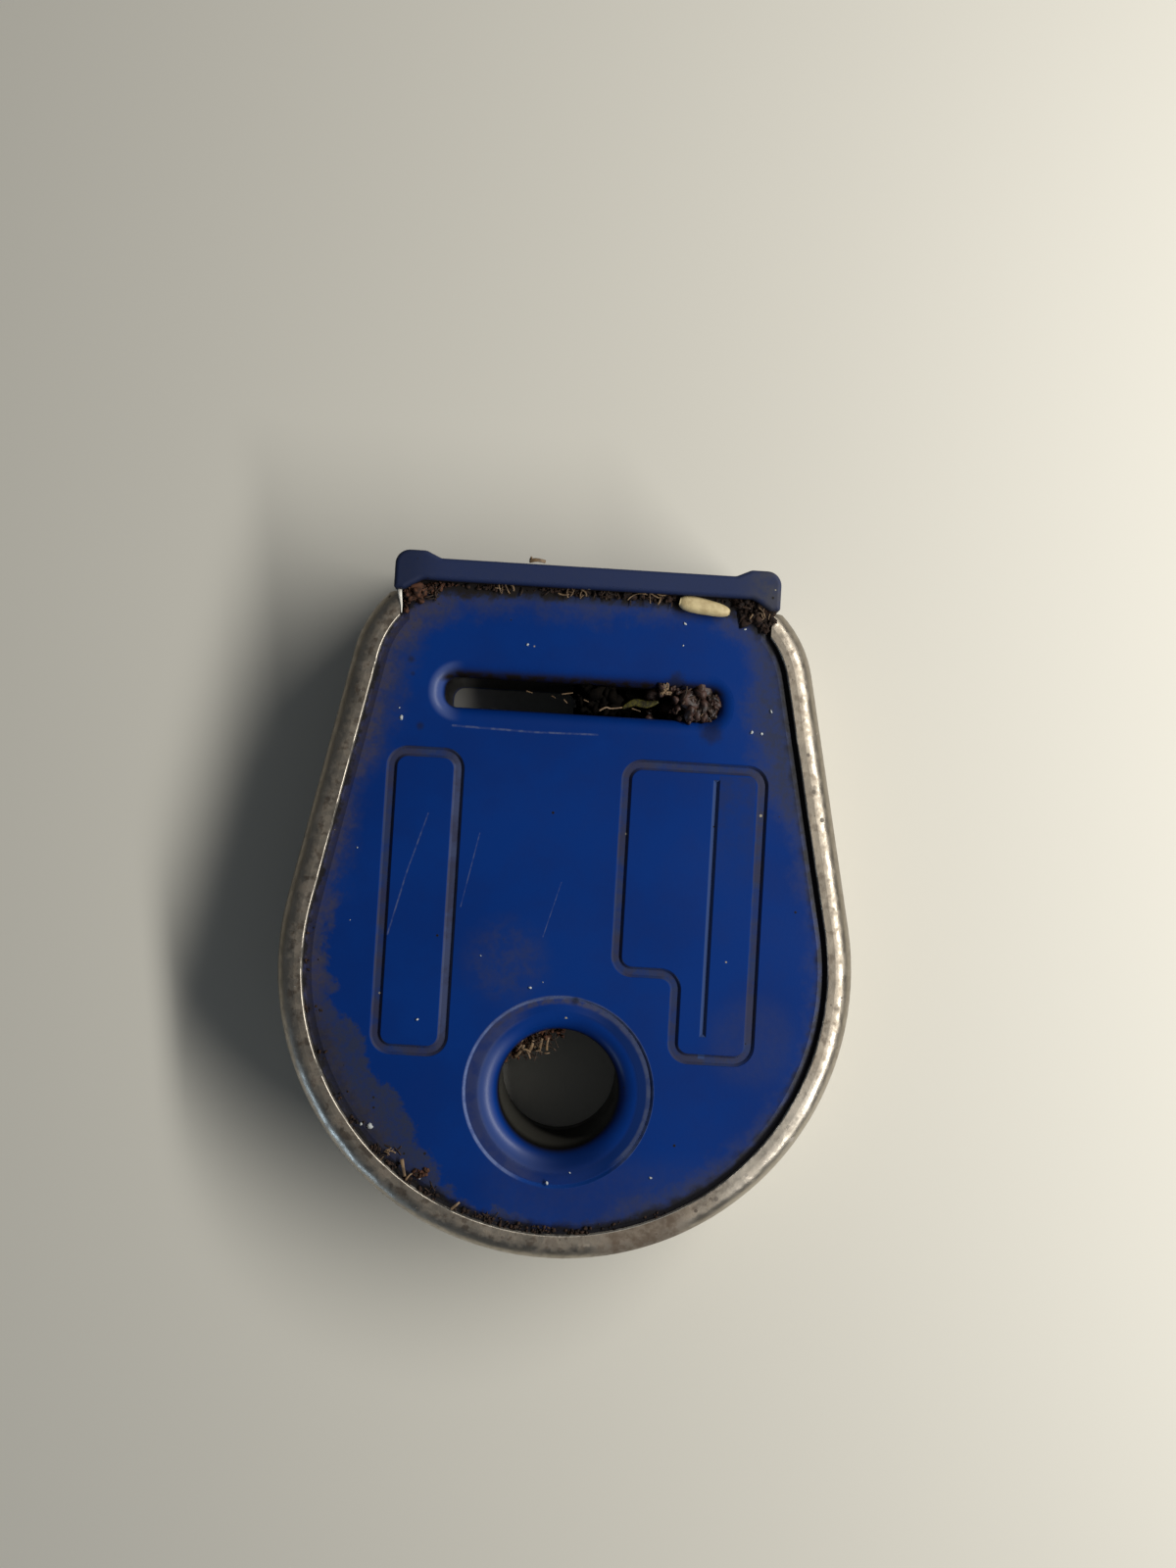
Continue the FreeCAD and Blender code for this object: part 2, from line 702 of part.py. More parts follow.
# Antenna coil: enamelled wire wound to the shape of the housing, and its tapes and leads.
def make_coil():
    body = new_body("antenna_coil")
    ring = new_sketch(body, "winding", "coil_bottom")
    add_outline(ring, "coil_outer")
    add_outline(ring, "coil_inner")
    pad(body, ring, "winding_pad", "coil_height")
    return body


def set_shape(label, shape):
    """A sub-part whose shape comes from cuts between its neighbours."""
    item = doc.addObject("Part::Feature", label)
    item.Label = label
    item.Shape = shape
    item.Placement = Placement()
    SUB_PARTS.append(item)
    return item


def make_coil_ties(coil):
    """Tape wound round the coil at the middle of each side."""
    sleeve = doc.addObject("PartDesign::Body", "tie_sleeve")
    ring = new_sketch(sleeve, "sleeve_outline", "coil_bottom - tie_thickness")
    add_outline(ring, "coil_outer - tie_thickness")
    add_outline(ring, "coil_inner + tie_thickness")
    pad(sleeve, ring, "sleeve", "coil_height + 2 * tie_thickness")
    width = number("tie_width")
    reach = number("half_length")
    height = number("rim_height")
    middle = number("centre_y")
    windows = {
        "coil_tie_left": (Vector(-reach, middle - width / 2, 0), reach, width),
        "coil_tie_right": (Vector(0, middle - width / 2, 0), reach, width),
        "coil_tie_flange": (Vector(-width / 2, middle, 0), width, 2 * reach),
        "coil_tie_round": (Vector(-width / 2, middle - reach, 0), width, reach),
    }
    ties = []
    for label, (corner, across, up) in windows.items():
        window = Part.makeBox(across, up, height, corner)
        ties.append(set_shape(label, sleeve.Shape.common(window).cut(coil.Shape)))
    return ties


def lead_end(index):
    """The pad of a coil lead on the board, by the side of the winding."""
    across = number("peg_x")
    up = number("board_y + lead_spacing * %s" % (index - 0.5))
    return Vector(across, up, number("board_top"))


def make_coil_lead(label, index):
    """A lead from the side of the winding that bends down to its pad on the board."""
    outward = side_normal()
    foot = lead_end(index)
    centre = Vector(0, number("centre_y"), 0)
    reach = number("rim_radius - coil_inner") - (foot - centre).dot(outward)
    start = foot + outward * reach + Vector(0, 0, number("lead_rise"))
    corner = foot + Vector(0, 0, number("lead_rise"))
    path = Part.makePolygon([start, corner, foot])
    section = Part.Wire([Part.Circle(start, outward, number("lead_diameter / 2")).toShape()])
    return set_shape(label, path.makePipeShell([section], True, False, 1))


def make_solder_joint(label, index, lead):
    """The round of solder about the foot of a lead."""
    joint = Part.makeCylinder(number("joint_diameter / 2"), number("joint_height"), lead_end(index))
    return set_shape(label, joint.cut(lead.Shape))


# Circuit board and what is soldered to it.
def make_board():
    body = new_body("circuit_board")
    outline = new_sketch(body, "board_outline", "board_bottom")
    add_rectangle(outline, "0", "board_y", "board_width", "board_length")
    for across, up in peg_places():
        add_circle(outline, across, up, "pin_diameter / 2 + pin_clearance")
    pad(body, outline, "laminate", "board_thickness")
    return body


def make_block(label, across, up, length, width, height):
    """A component with a rectangular case, standing on the board."""
    block = doc.addObject("Part::Box", label)
    block.Label = label
    bind(block, "Length", length)
    bind(block, "Width", width)
    bind(block, "Height", height)
    bind(block, "Placement.Base.x", "(%s) - (%s) / 2" % (across, length))
    bind(block, "Placement.Base.y", "board_y + (%s) - (%s) / 2" % (up, width))
    bind(block, "Placement.Base.z", "board_top")
    SUB_PARTS.append(block)
    return block


def make_storage_capacitor(across, up):
    """The round capacitor that stores the charge for one reply."""
    can = doc.addObject("Part::Cylinder", "storage_capacitor")
    can.Label = "storage_capacitor"
    bind(can, "Radius", "storage_diameter / 2")
    bind(can, "Height", "storage_length")
    bind(can, "Placement.Base.x", across)
    bind(can, "Placement.Base.y", "board_y + (%s)" % up)
    bind(can, "Placement.Base.z", "board_top")
    SUB_PARTS.append(can)
    return can


def make_chip(across, up):
    """The code chip: a case lifted on two rows of legs."""
    body = new_body("transponder_chip")
    case = new_sketch(body, "case_outline", "board_top + chip_lift")
    middle = "board_y + (%s)" % up
    add_rectangle(case, across, middle, "chip_length", "chip_width")
    pad(body, case, "case", "chip_thickness")
    legs = new_sketch(body, "leg_outline", "board_top")
    for side in ("-", "+"):
        add_rectangle(legs, "%s - chip_pitch * (chip_legs - 1) / 2" % across,
                      "%s %s chip_row / 2" % (middle, side),
                      "chip_pin", "chip_row - chip_width + chip_pin / 2")
    first = pad(body, legs, "first_legs", "chip_lift + chip_thickness / 2")
    row = body.newObject("PartDesign::LinearPattern", "leg_rows")
    row.Originals = [first]
    row.Direction = (legs, ["H_Axis"])
    bind(row, "Occurrences", "chip_legs")
    bind(row, "Length", "chip_pitch * (chip_legs - 1)")
    body.Tip = row
    doc.recompute()
    return body


def make_electronics():
    """The board with its components, each given by its place from the board's middle."""
    parts = [make_board(), make_chip("-left_column", "upper_row"),
             make_storage_capacitor("right_column", "upper_row")]
    parts.append(make_block("tuning_capacitor", "-left_column", "-middle_row",
                            "tuning_length", "tuning_width", "tuning_height"))
    parts.append(make_block("trimming_capacitor", "trimming_column", "-middle_row",
                            "trimming_length", "trimming_width", "trimming_height"))
    for index in range(4):
        parts.append(make_block("rectifier_diode_%d" % (index + 1),
                                "right_column + diode_spread * (%d - 0.5)" % (index % 2),
                                "-lower_row + diode_pitch * %d" % (index // 2),
                                "diode_length", "diode_width", "diode_thickness"))
    for index in range(2):
        parts.append(make_block("resistor_%d" % (index + 1),
                                "-left_column + resistor_pitch * %d" % index, "-lower_row",
                                "resistor_length", "resistor_width", "resistor_thickness"))
    doc.recompute()
    return parts


# Potting compound: it fills the cavity round everything that the cavity holds.
def make_potting(neighbours):
    cast = doc.addObject("PartDesign::Body", "cavity_fill")
    outline = new_sketch(cast, "fill_outline", "seam")
    add_outline(outline, "cavity_inset", "cavity_top", "neck_half - wall_thickness")
    add_slot(outline, "tunnel_wall")
    add_hole(outline, "tunnel_wall")
    pad(cast, outline, "fill", "cavity_roof - seam")
    return set_shape("potting_compound", cast.Shape.cut([item.Shape for item in neighbours]))


front_housing = make_front_housing()
back_cover = make_back_cover()
steel_rim = make_steel_rim()
antenna_coil = make_coil()
held = [back_cover, antenna_coil] + make_coil_ties(antenna_coil) + make_electronics()
for lead_index, lead_name in enumerate(("start", "finish")):
    coil_lead = make_coil_lead("coil_lead_" + lead_name, lead_index)
    held.append(coil_lead)
    held.append(make_solder_joint("solder_joint_" + lead_name, lead_index, coil_lead))
make_potting(held)
doc.recompute()

faults = [item.Name for item in doc.Objects if {"Invalid", "Error"} & set(item.State)]
if faults:
    raise RuntimeError("failed objects: %s" % ", ".join(faults))
for part in SUB_PARTS:
    if part.Shape.isNull() or not part.Shape.isValid():
        raise RuntimeError("bad shape: %s" % part.Label)

os.makedirs("parts", exist_ok=True)
for part in SUB_PARTS:
    part.Shape.exportStep("parts/%s.step" % part.Label)
    print("%-20s %2d solids %9.1f mm3" % (part.Label, len(part.Shape.Solids), part.Shape.Volume))
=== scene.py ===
# %% [markdown]
# # A collar transponder after years in the barn
# The object is a bell-shaped blue plastic housing held in a rolled steel strip. Its solids
# already have the right shapes, so this script gives them worn, dusty finishes and adds
# what has caught in their corners: packed dirt, bits of straw and one grain.
# The solid model loads first, because every new piece is placed by its measurements.

# %% Load the solid model
import math

import bpy
import numpy as np
from mathutils import Matrix, Vector


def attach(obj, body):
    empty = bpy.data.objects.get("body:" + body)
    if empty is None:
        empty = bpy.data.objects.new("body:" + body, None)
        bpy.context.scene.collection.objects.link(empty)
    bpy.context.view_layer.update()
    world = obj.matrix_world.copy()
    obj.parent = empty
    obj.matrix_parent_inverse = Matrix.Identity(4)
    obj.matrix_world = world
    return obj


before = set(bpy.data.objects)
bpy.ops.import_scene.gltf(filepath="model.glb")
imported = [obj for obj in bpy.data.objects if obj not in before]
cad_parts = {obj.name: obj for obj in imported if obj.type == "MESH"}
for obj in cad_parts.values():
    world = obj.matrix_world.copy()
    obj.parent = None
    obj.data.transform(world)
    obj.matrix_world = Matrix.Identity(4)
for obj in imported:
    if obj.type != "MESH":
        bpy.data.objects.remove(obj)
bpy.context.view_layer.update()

MM = 0.001

# %% [markdown]
# ## The sizes that the finishes follow
# Dust gathers beside edges, so the finishes need to know where the edges are. These are the
# same few sizes that shape the solids, in millimetres: the round end, the shoulders, the
# face, the slot, the hole and the flange.

# %% Sizes of the object, in millimetres
END_RADIUS = 45.5
END_CENTRE = -9.5
SHOULDER_RADIUS = 18.5
SHOULDER = (18.43, 35.6)
LIP_WIDTH = 4.2
FACE = 21.4
LIP_TOP = 22.0
FLANGE_TOP = 24.0
FLANGE_SEAM = 50.5
HOLE_CENTRE = (0.0, -28.6)
HOLE_RADIUS = 9.5
RING_RADIUS = 14.6
SLOT_CENTRE = 33.4
SLOT_HALF_WIDTH = 2.4
SLOT_HALF_LENGTH = 21.75

# %% [markdown]
# ## The camera
# A phone was held about 25 cm above the object and nearly level. The camera stands at that
# place, looks at a point on the face and is turned by three and a half degrees, so the
# object leans a little to the right in the picture, as it does in the photograph.

# %% Camera
CAMERA_PLACE = Vector((-0.69, 12.88, 245.6))
CAMERA_FORWARD = Vector((0.01131, 0.03143, -0.99944))
CAMERA_RIGHT = Vector((0.99817, 0.05908, 0.01316))
PICTURE_HEIGHT = 1600
FOCAL_PIXELS = 1450

camera_data = bpy.data.cameras.new("camera")
camera_data.sensor_width = 36.0
camera_data.lens = FOCAL_PIXELS / PICTURE_HEIGHT * camera_data.sensor_width
camera_data.clip_start = 0.01
camera = bpy.data.objects.new("camera", camera_data)
bpy.context.collection.objects.link(camera)
back = -CAMERA_FORWARD.normalized()
up = back.cross(CAMERA_RIGHT).normalized()
right = up.cross(back).normalized()
turn = Matrix((right, up, back)).transposed().to_4x4()
camera.matrix_world = Matrix.Translation(CAMERA_PLACE * MM) @ turn
bpy.context.scene.camera = camera
print("camera lens %.2f mm, %.0f mm above the floor" % (camera_data.lens, CAMERA_PLACE.z))

# %% [markdown]
# ## Floor and light
# The light comes from a long, low window on the right, a little towards the flange. One
# wide and shallow lamp stands in for it. Because it is wide, the shadow of the round end
# smears softly, and because it is shallow, the shadow's left side stays fairly sharp. A dim
# bluish sky fills the shadow, and a weak blue glow from the lower left draws a cool line on
# the steel there. The floor is plain and pale.

# %% Floor, window light, glow and sky
def stage_material(name, colour, roughness):
    """A plain material for the floor, which isn't part of the object."""
    material = bpy.data.materials.new(name)
    material.use_nodes = True
    shader = material.node_tree.nodes["Principled BSDF"]
    shader.inputs["Base Color"].default_value = (*colour, 1.0)
    shader.inputs["Roughness"].default_value = roughness
    return material


FLOOR_HALF = 2.0
floor_mesh = bpy.data.meshes.new("floor")
floor_mesh.from_pydata([(-FLOOR_HALF, -FLOOR_HALF, 0), (FLOOR_HALF, -FLOOR_HALF, 0),
                        (FLOOR_HALF, FLOOR_HALF, 0), (-FLOOR_HALF, FLOOR_HALF, 0)],
                       [], [(0, 1, 2, 3)])
floor = bpy.data.objects.new("floor", floor_mesh)
bpy.context.collection.objects.link(floor)
floor_mesh.materials.append(stage_material("pale_floor", (0.64, 0.615, 0.54), 0.55))

lamp_data = bpy.data.lights.new("window", "AREA")
lamp_data.shape = "RECTANGLE"
lamp_data.size = 0.668
lamp_data.size_y = 0.048
lamp_data.energy = 2.93
lamp_data.color = (1.0, 0.985, 0.95)
lamp = bpy.data.objects.new("window", lamp_data)
lamp.location = (0.304, 0.046, 0.318)
lamp.rotation_euler = (-lamp.location).to_track_quat("-Z", "Y").to_euler()
bpy.context.collection.objects.link(lamp)

glow_data = bpy.data.lights.new("daylight", "AREA")
glow_data.shape = "RECTANGLE"
glow_data.size = 0.22
glow_data.size_y = 0.04
glow_data.energy = 0.30
glow_data.color = (0.50, 0.72, 1.0)
glow = bpy.data.objects.new("daylight", glow_data)
glow.location = (-0.42, -0.40, 0.07)
glow.rotation_euler = (-glow.location).to_track_quat("-Z", "Y").to_euler()
bpy.context.collection.objects.link(glow)

world = bpy.data.worlds.new("sky")
world.use_nodes = True
world.node_tree.nodes["Background"].inputs["Color"].default_value = (0.84, 0.91, 1.0, 1.0)
world.node_tree.nodes["Background"].inputs["Strength"].default_value = 0.088
bpy.context.scene.world = world
bpy.context.scene.view_settings.view_transform = "Standard"

# %% [markdown]
# ## Small helpers for node trees
# A finish is a chain of small steps: measure a place, make a mask, mix two colours. Each
# helper adds one step and hands back its result, so that a finish reads as a short recipe.

# %% Node helpers
def add_node(tree, kind, inputs=None, **settings):
    """Add one node, set its options, and fill its inputs by values or by links."""
    node = tree.nodes.new(kind)
    for name, value in settings.items():
        setattr(node, name, value)
    for name, value in (inputs or {}).items():
        socket = node.inputs[name]
        if isinstance(value, bpy.types.NodeSocket):
            tree.links.new(value, socket)
        else:
            socket.default_value = value
    return node


def compute(tree, operation, *values):
    """One step of arithmetic."""
    return add_node(tree, "ShaderNodeMath", dict(enumerate(values)),
                    operation=operation).outputs["Value"]


def vector_step(tree, operation, *values):
    """One step of arithmetic on vectors."""
    return add_node(tree, "ShaderNodeVectorMath", dict(enumerate(values)), operation=operation)


def rise(tree, value, low, high):
    """A soft step: 0 below the first bound, 1 above the second."""
    return add_node(tree, "ShaderNodeMapRange", {"Value": value, "From Min": low, "From Max": high},
                    interpolation_type="SMOOTHSTEP").outputs["Result"]


def fall(tree, value, low, high):
    """A soft step the other way: 1 below the first bound, 0 above the second."""
    return add_node(tree, "ShaderNodeMapRange",
                    {"Value": value, "From Min": low, "From Max": high,
                     "To Min": 1.0, "To Max": 0.0},
                    interpolation_type="SMOOTHSTEP").outputs["Result"]


def blend_colours(tree, factor, first, second):
    """Mix two colours by a mask."""
    def full(colour):
        return (*colour, 1.0) if isinstance(colour, tuple) and len(colour) == 3 else colour
    node = tree.nodes.new("ShaderNodeMix")
    node.data_type = "RGBA"
    for index, value in ((0, factor), (6, full(first)), (7, full(second))):
        if isinstance(value, bpy.types.NodeSocket):
            tree.links.new(value, node.inputs[index])
        else:
            node.inputs[index].default_value = value
    return node.outputs[2]


def blend_numbers(tree, factor, first, second):
    """Mix two numbers by a mask."""
    return add_node(tree, "ShaderNodeMapRange",
                    {"Value": factor, "To Min": first, "To Max": second}).outputs["Result"]


def place_in_mm(tree):
    """The place on the surface in millimetres, from the object's own coordinates."""
    here = tree.nodes.new("ShaderNodeTexCoord").outputs["Object"]
    return add_node(tree, "ShaderNodeVectorMath", {0: here, "Scale": 1 / MM},
                    operation="SCALE").outputs["Vector"]


def new_group(name, inputs, outputs):
    """An empty node group with named inputs and outputs."""
    group = bpy.data.node_groups.new(name, "ShaderNodeTree")
    for label, kind, value in inputs:
        socket = group.interface.new_socket(label, in_out="INPUT", socket_type=kind)
        if value is not None:
            socket.default_value = value
    for label, kind in outputs:
        group.interface.new_socket(label, in_out="OUTPUT", socket_type=kind)
    return group, group.nodes.new("NodeGroupInput").outputs, group.nodes.new("NodeGroupOutput").inputs


def use_group(tree, group, inputs):
    """Place a node group in a tree and hand back its outputs."""
    node = tree.nodes.new("ShaderNodeGroup")
    node.node_tree = group
    for name, value in inputs.items():
        if isinstance(value, bpy.types.NodeSocket):
            tree.links.new(value, node.inputs[name])
        else:
            node.inputs[name].default_value = value
    return node.outputs


# %% [markdown]
# ## Effects that several finishes share
# Dirt on a used tool comes in a few kinds: soft patches, small specks and scratches. Each kind
# is one node group. Noise makes the patches, cell centres make the specks, and the
# distance to a line makes a scratch.

# %% Group: soft patches
patches, given, made = new_group(
    "soft_patches",
    [("Place", "NodeSocketVector", None), ("Size", "NodeSocketFloat", 5.0),
     ("Low", "NodeSocketFloat", 0.45), ("High", "NodeSocketFloat", 0.65)],
    [("Mask", "NodeSocketFloat")])
shrunk = add_node(patches, "ShaderNodeVectorMath",
                  {0: given["Place"], "Scale": compute(patches, "DIVIDE", 1.0, given["Size"])},
                  operation="SCALE").outputs["Vector"]
cloud = add_node(patches, "ShaderNodeTexNoise",
                 {"Vector": shrunk, "Scale": 1.0, "Detail": 5.0, "Roughness": 0.62}).outputs[0]
patches.links.new(rise(patches, cloud, given["Low"], given["High"]), made["Mask"])

# %% Group: small specks
specks, given, made = new_group(
    "small_specks",
    [("Place", "NodeSocketVector", None), ("Spacing", "NodeSocketFloat", 3.0),
     ("Radius", "NodeSocketFloat", 0.1), ("Chance", "NodeSocketFloat", 0.3)],
    [("Mask", "NodeSocketFloat")])
shrunk = add_node(specks, "ShaderNodeVectorMath",
                  {0: given["Place"], "Scale": compute(specks, "DIVIDE", 1.0, given["Spacing"])},
                  operation="SCALE").outputs["Vector"]
cells = add_node(specks, "ShaderNodeTexVoronoi", {"Vector": shrunk, "Scale": 1.0})
lot = add_node(specks, "ShaderNodeSeparateColor", {"Color": cells.outputs["Color"]}).outputs
drawn = compute(specks, "LESS_THAN", lot["Red"], given["Chance"])
own_radius = compute(specks, "MULTIPLY", given["Radius"],
                     compute(specks, "ADD", 0.4, lot["Green"]))
near = compute(specks, "LESS_THAN", cells.outputs["Distance"], own_radius)
specks.links.new(compute(specks, "MULTIPLY", drawn, near), made["Mask"])

# %% Group: one straight mark
mark, given, made = new_group(
    "straight_mark",
    [("Place", "NodeSocketVector", None), ("Start", "NodeSocketVector", None),
     ("End", "NodeSocketVector", None), ("Width", "NodeSocketFloat", 0.3)],
    [("Mask", "NodeSocketFloat")])
whole = vector_step(mark, "SUBTRACT", given["End"], given["Start"]).outputs["Vector"]
offset = vector_step(mark, "SUBTRACT", given["Place"], given["Start"]).outputs["Vector"]
share = compute(mark, "DIVIDE", vector_step(mark, "DOT_PRODUCT", offset, whole).outputs["Value"],
                vector_step(mark, "DOT_PRODUCT", whole, whole).outputs["Value"])
share = add_node(mark, "ShaderNodeClamp", {"Value": share}).outputs["Result"]
along = add_node(mark, "ShaderNodeVectorMath", {0: whole, "Scale": share},
                 operation="SCALE").outputs["Vector"]
gap = vector_step(mark, "DISTANCE", offset, along).outputs["Value"]
mark.links.new(fall(mark, gap, compute(mark, "MULTIPLY", given["Width"], 0.4), given["Width"]),
               made["Mask"])

# %% [markdown]
# Dust is thickest where the face meets the steel lip, all the way round. That needs the
# distance from any point to the bell outline. The outline is the tight loop round three
# circles, so the distance has three cases: below the straight side it is measured from
# the big circle, beside the side it is measured square to it, and above from the shoulder.
# Between the shoulders the outline is level, so there only the height counts.

# %% Group: distance from the bell outline
edge_distance, given, made = new_group(
    "edge_distance", [("Place", "NodeSocketVector", None)], [("Distance", "NodeSocketFloat")])
reach = Vector((SHOULDER[0], SHOULDER[1] - END_CENTRE))
flare = math.atan2(reach.y, reach.x) - math.acos((END_RADIUS - SHOULDER_RADIUS) / reach.length)
outward = (math.cos(flare), math.sin(flare), 0.0)
forward = (-math.sin(flare), math.cos(flare), 0.0)
side_length = reach.x * forward[0] + reach.y * forward[1]
parts = add_node(edge_distance, "ShaderNodeSeparateXYZ", {"Vector": given["Place"]}).outputs
half = add_node(edge_distance, "ShaderNodeCombineXYZ", {
    "X": compute(edge_distance, "ABSOLUTE", parts["X"]),
    "Y": compute(edge_distance, "SUBTRACT", parts["Y"], END_CENTRE)}).outputs["Vector"]
across = vector_step(edge_distance, "DOT_PRODUCT", half, outward).outputs["Value"]
ahead = vector_step(edge_distance, "DOT_PRODUCT", half, forward).outputs["Value"]
radial = vector_step(edge_distance, "LENGTH", half).outputs["Value"]
round_part = compute(edge_distance, "SUBTRACT", END_RADIUS, radial)
side_part = compute(edge_distance, "SUBTRACT", END_RADIUS, across)
half_parts = add_node(edge_distance, "ShaderNodeSeparateXYZ", {"Vector": half}).outputs
beside = add_node(edge_distance, "ShaderNodeCombineXYZ", {
    "X": compute(edge_distance, "MAXIMUM", half_parts["X"], reach.x),
    "Y": half_parts["Y"]}).outputs["Vector"]
shoulder_gap = vector_step(edge_distance, "DISTANCE", beside, (reach.x, reach.y, 0.0)).outputs["Value"]
shoulder_part = compute(edge_distance, "SUBTRACT", SHOULDER_RADIUS, shoulder_gap)
on_side = compute(edge_distance, "GREATER_THAN", ahead, 0.0)
on_shoulder = compute(edge_distance, "GREATER_THAN", ahead, side_length)
lower = blend_numbers(edge_distance, on_side, round_part, side_part)
edge_distance.links.new(blend_numbers(edge_distance, on_shoulder, lower, shoulder_part),
                        made["Distance"])
print("the straight sides lean %.1f degrees and run %.1f mm" % (math.degrees(flare), side_length))

# %% [markdown]
# ## Blue plastic
# The housing was moulded in deep blue. Handling keeps the middle of the face clean, while a
# grey-violet film stays beside the lip, dust fills the sunk lines and the ring, and the
# flange has gone dull. The recipe starts from the clean colour and lays each kind of
# dirt over it, from the widest to the finest. Some of its colours are painted light:
# dirt and painted shadow in the gap beside the lip, painted shade on the deep walls of the
# slot and the hole, on the right of the ring, under the hole and on the left end of the
# flange, and painted highlights on the mouths of the hole and the slot, on the divider
# and on one sunk line.

# %% Blue plastic
CLEAN_BLUE = (0.0008, 0.0262, 0.168)
DEEP_BLUE = (0.0003, 0.0208, 0.142)
FILM = (0.021, 0.028, 0.078)
FILM_GREY = (0.019, 0.024, 0.047)
FILM_WARM = (0.046, 0.039, 0.050)
FLANGE_FILM = (0.014, 0.024, 0.072)
LINE_DUST = (0.024, 0.036, 0.092)
LINE_BROWN = (0.034, 0.031, 0.050)
RING_DUST = (0.044, 0.056, 0.140)
RING_SHADE = (0.0008, 0.013, 0.078)
RUBBED_AND_HIGHLIGHT = (0.105, 0.140, 0.270)
GAP_DIRT_AND_SHADOW = (0.006, 0.005, 0.005)
BROWN_DIRT_AND_SHADE = (0.011, 0.008, 0.007)
PALE_SPECK = (0.30, 0.27, 0.20)
HOLE_WALL = (0.040, 0.038, 0.031)
SMUDGES = [(20.7, 29.3, 0.7, 2.6, 0.6), (14.8, 37.0, 0.6, 2.0, 0.7), (-27.2, 38.0, 0.15, 0.8, 0.6),
           (-25.2, 27.5, 0.2, 0.9, 0.6), (-26.8, 35.7, 0.1, 0.5, 0.5), (1.8, -14.3, 0.3, 0.9, 0.7)]


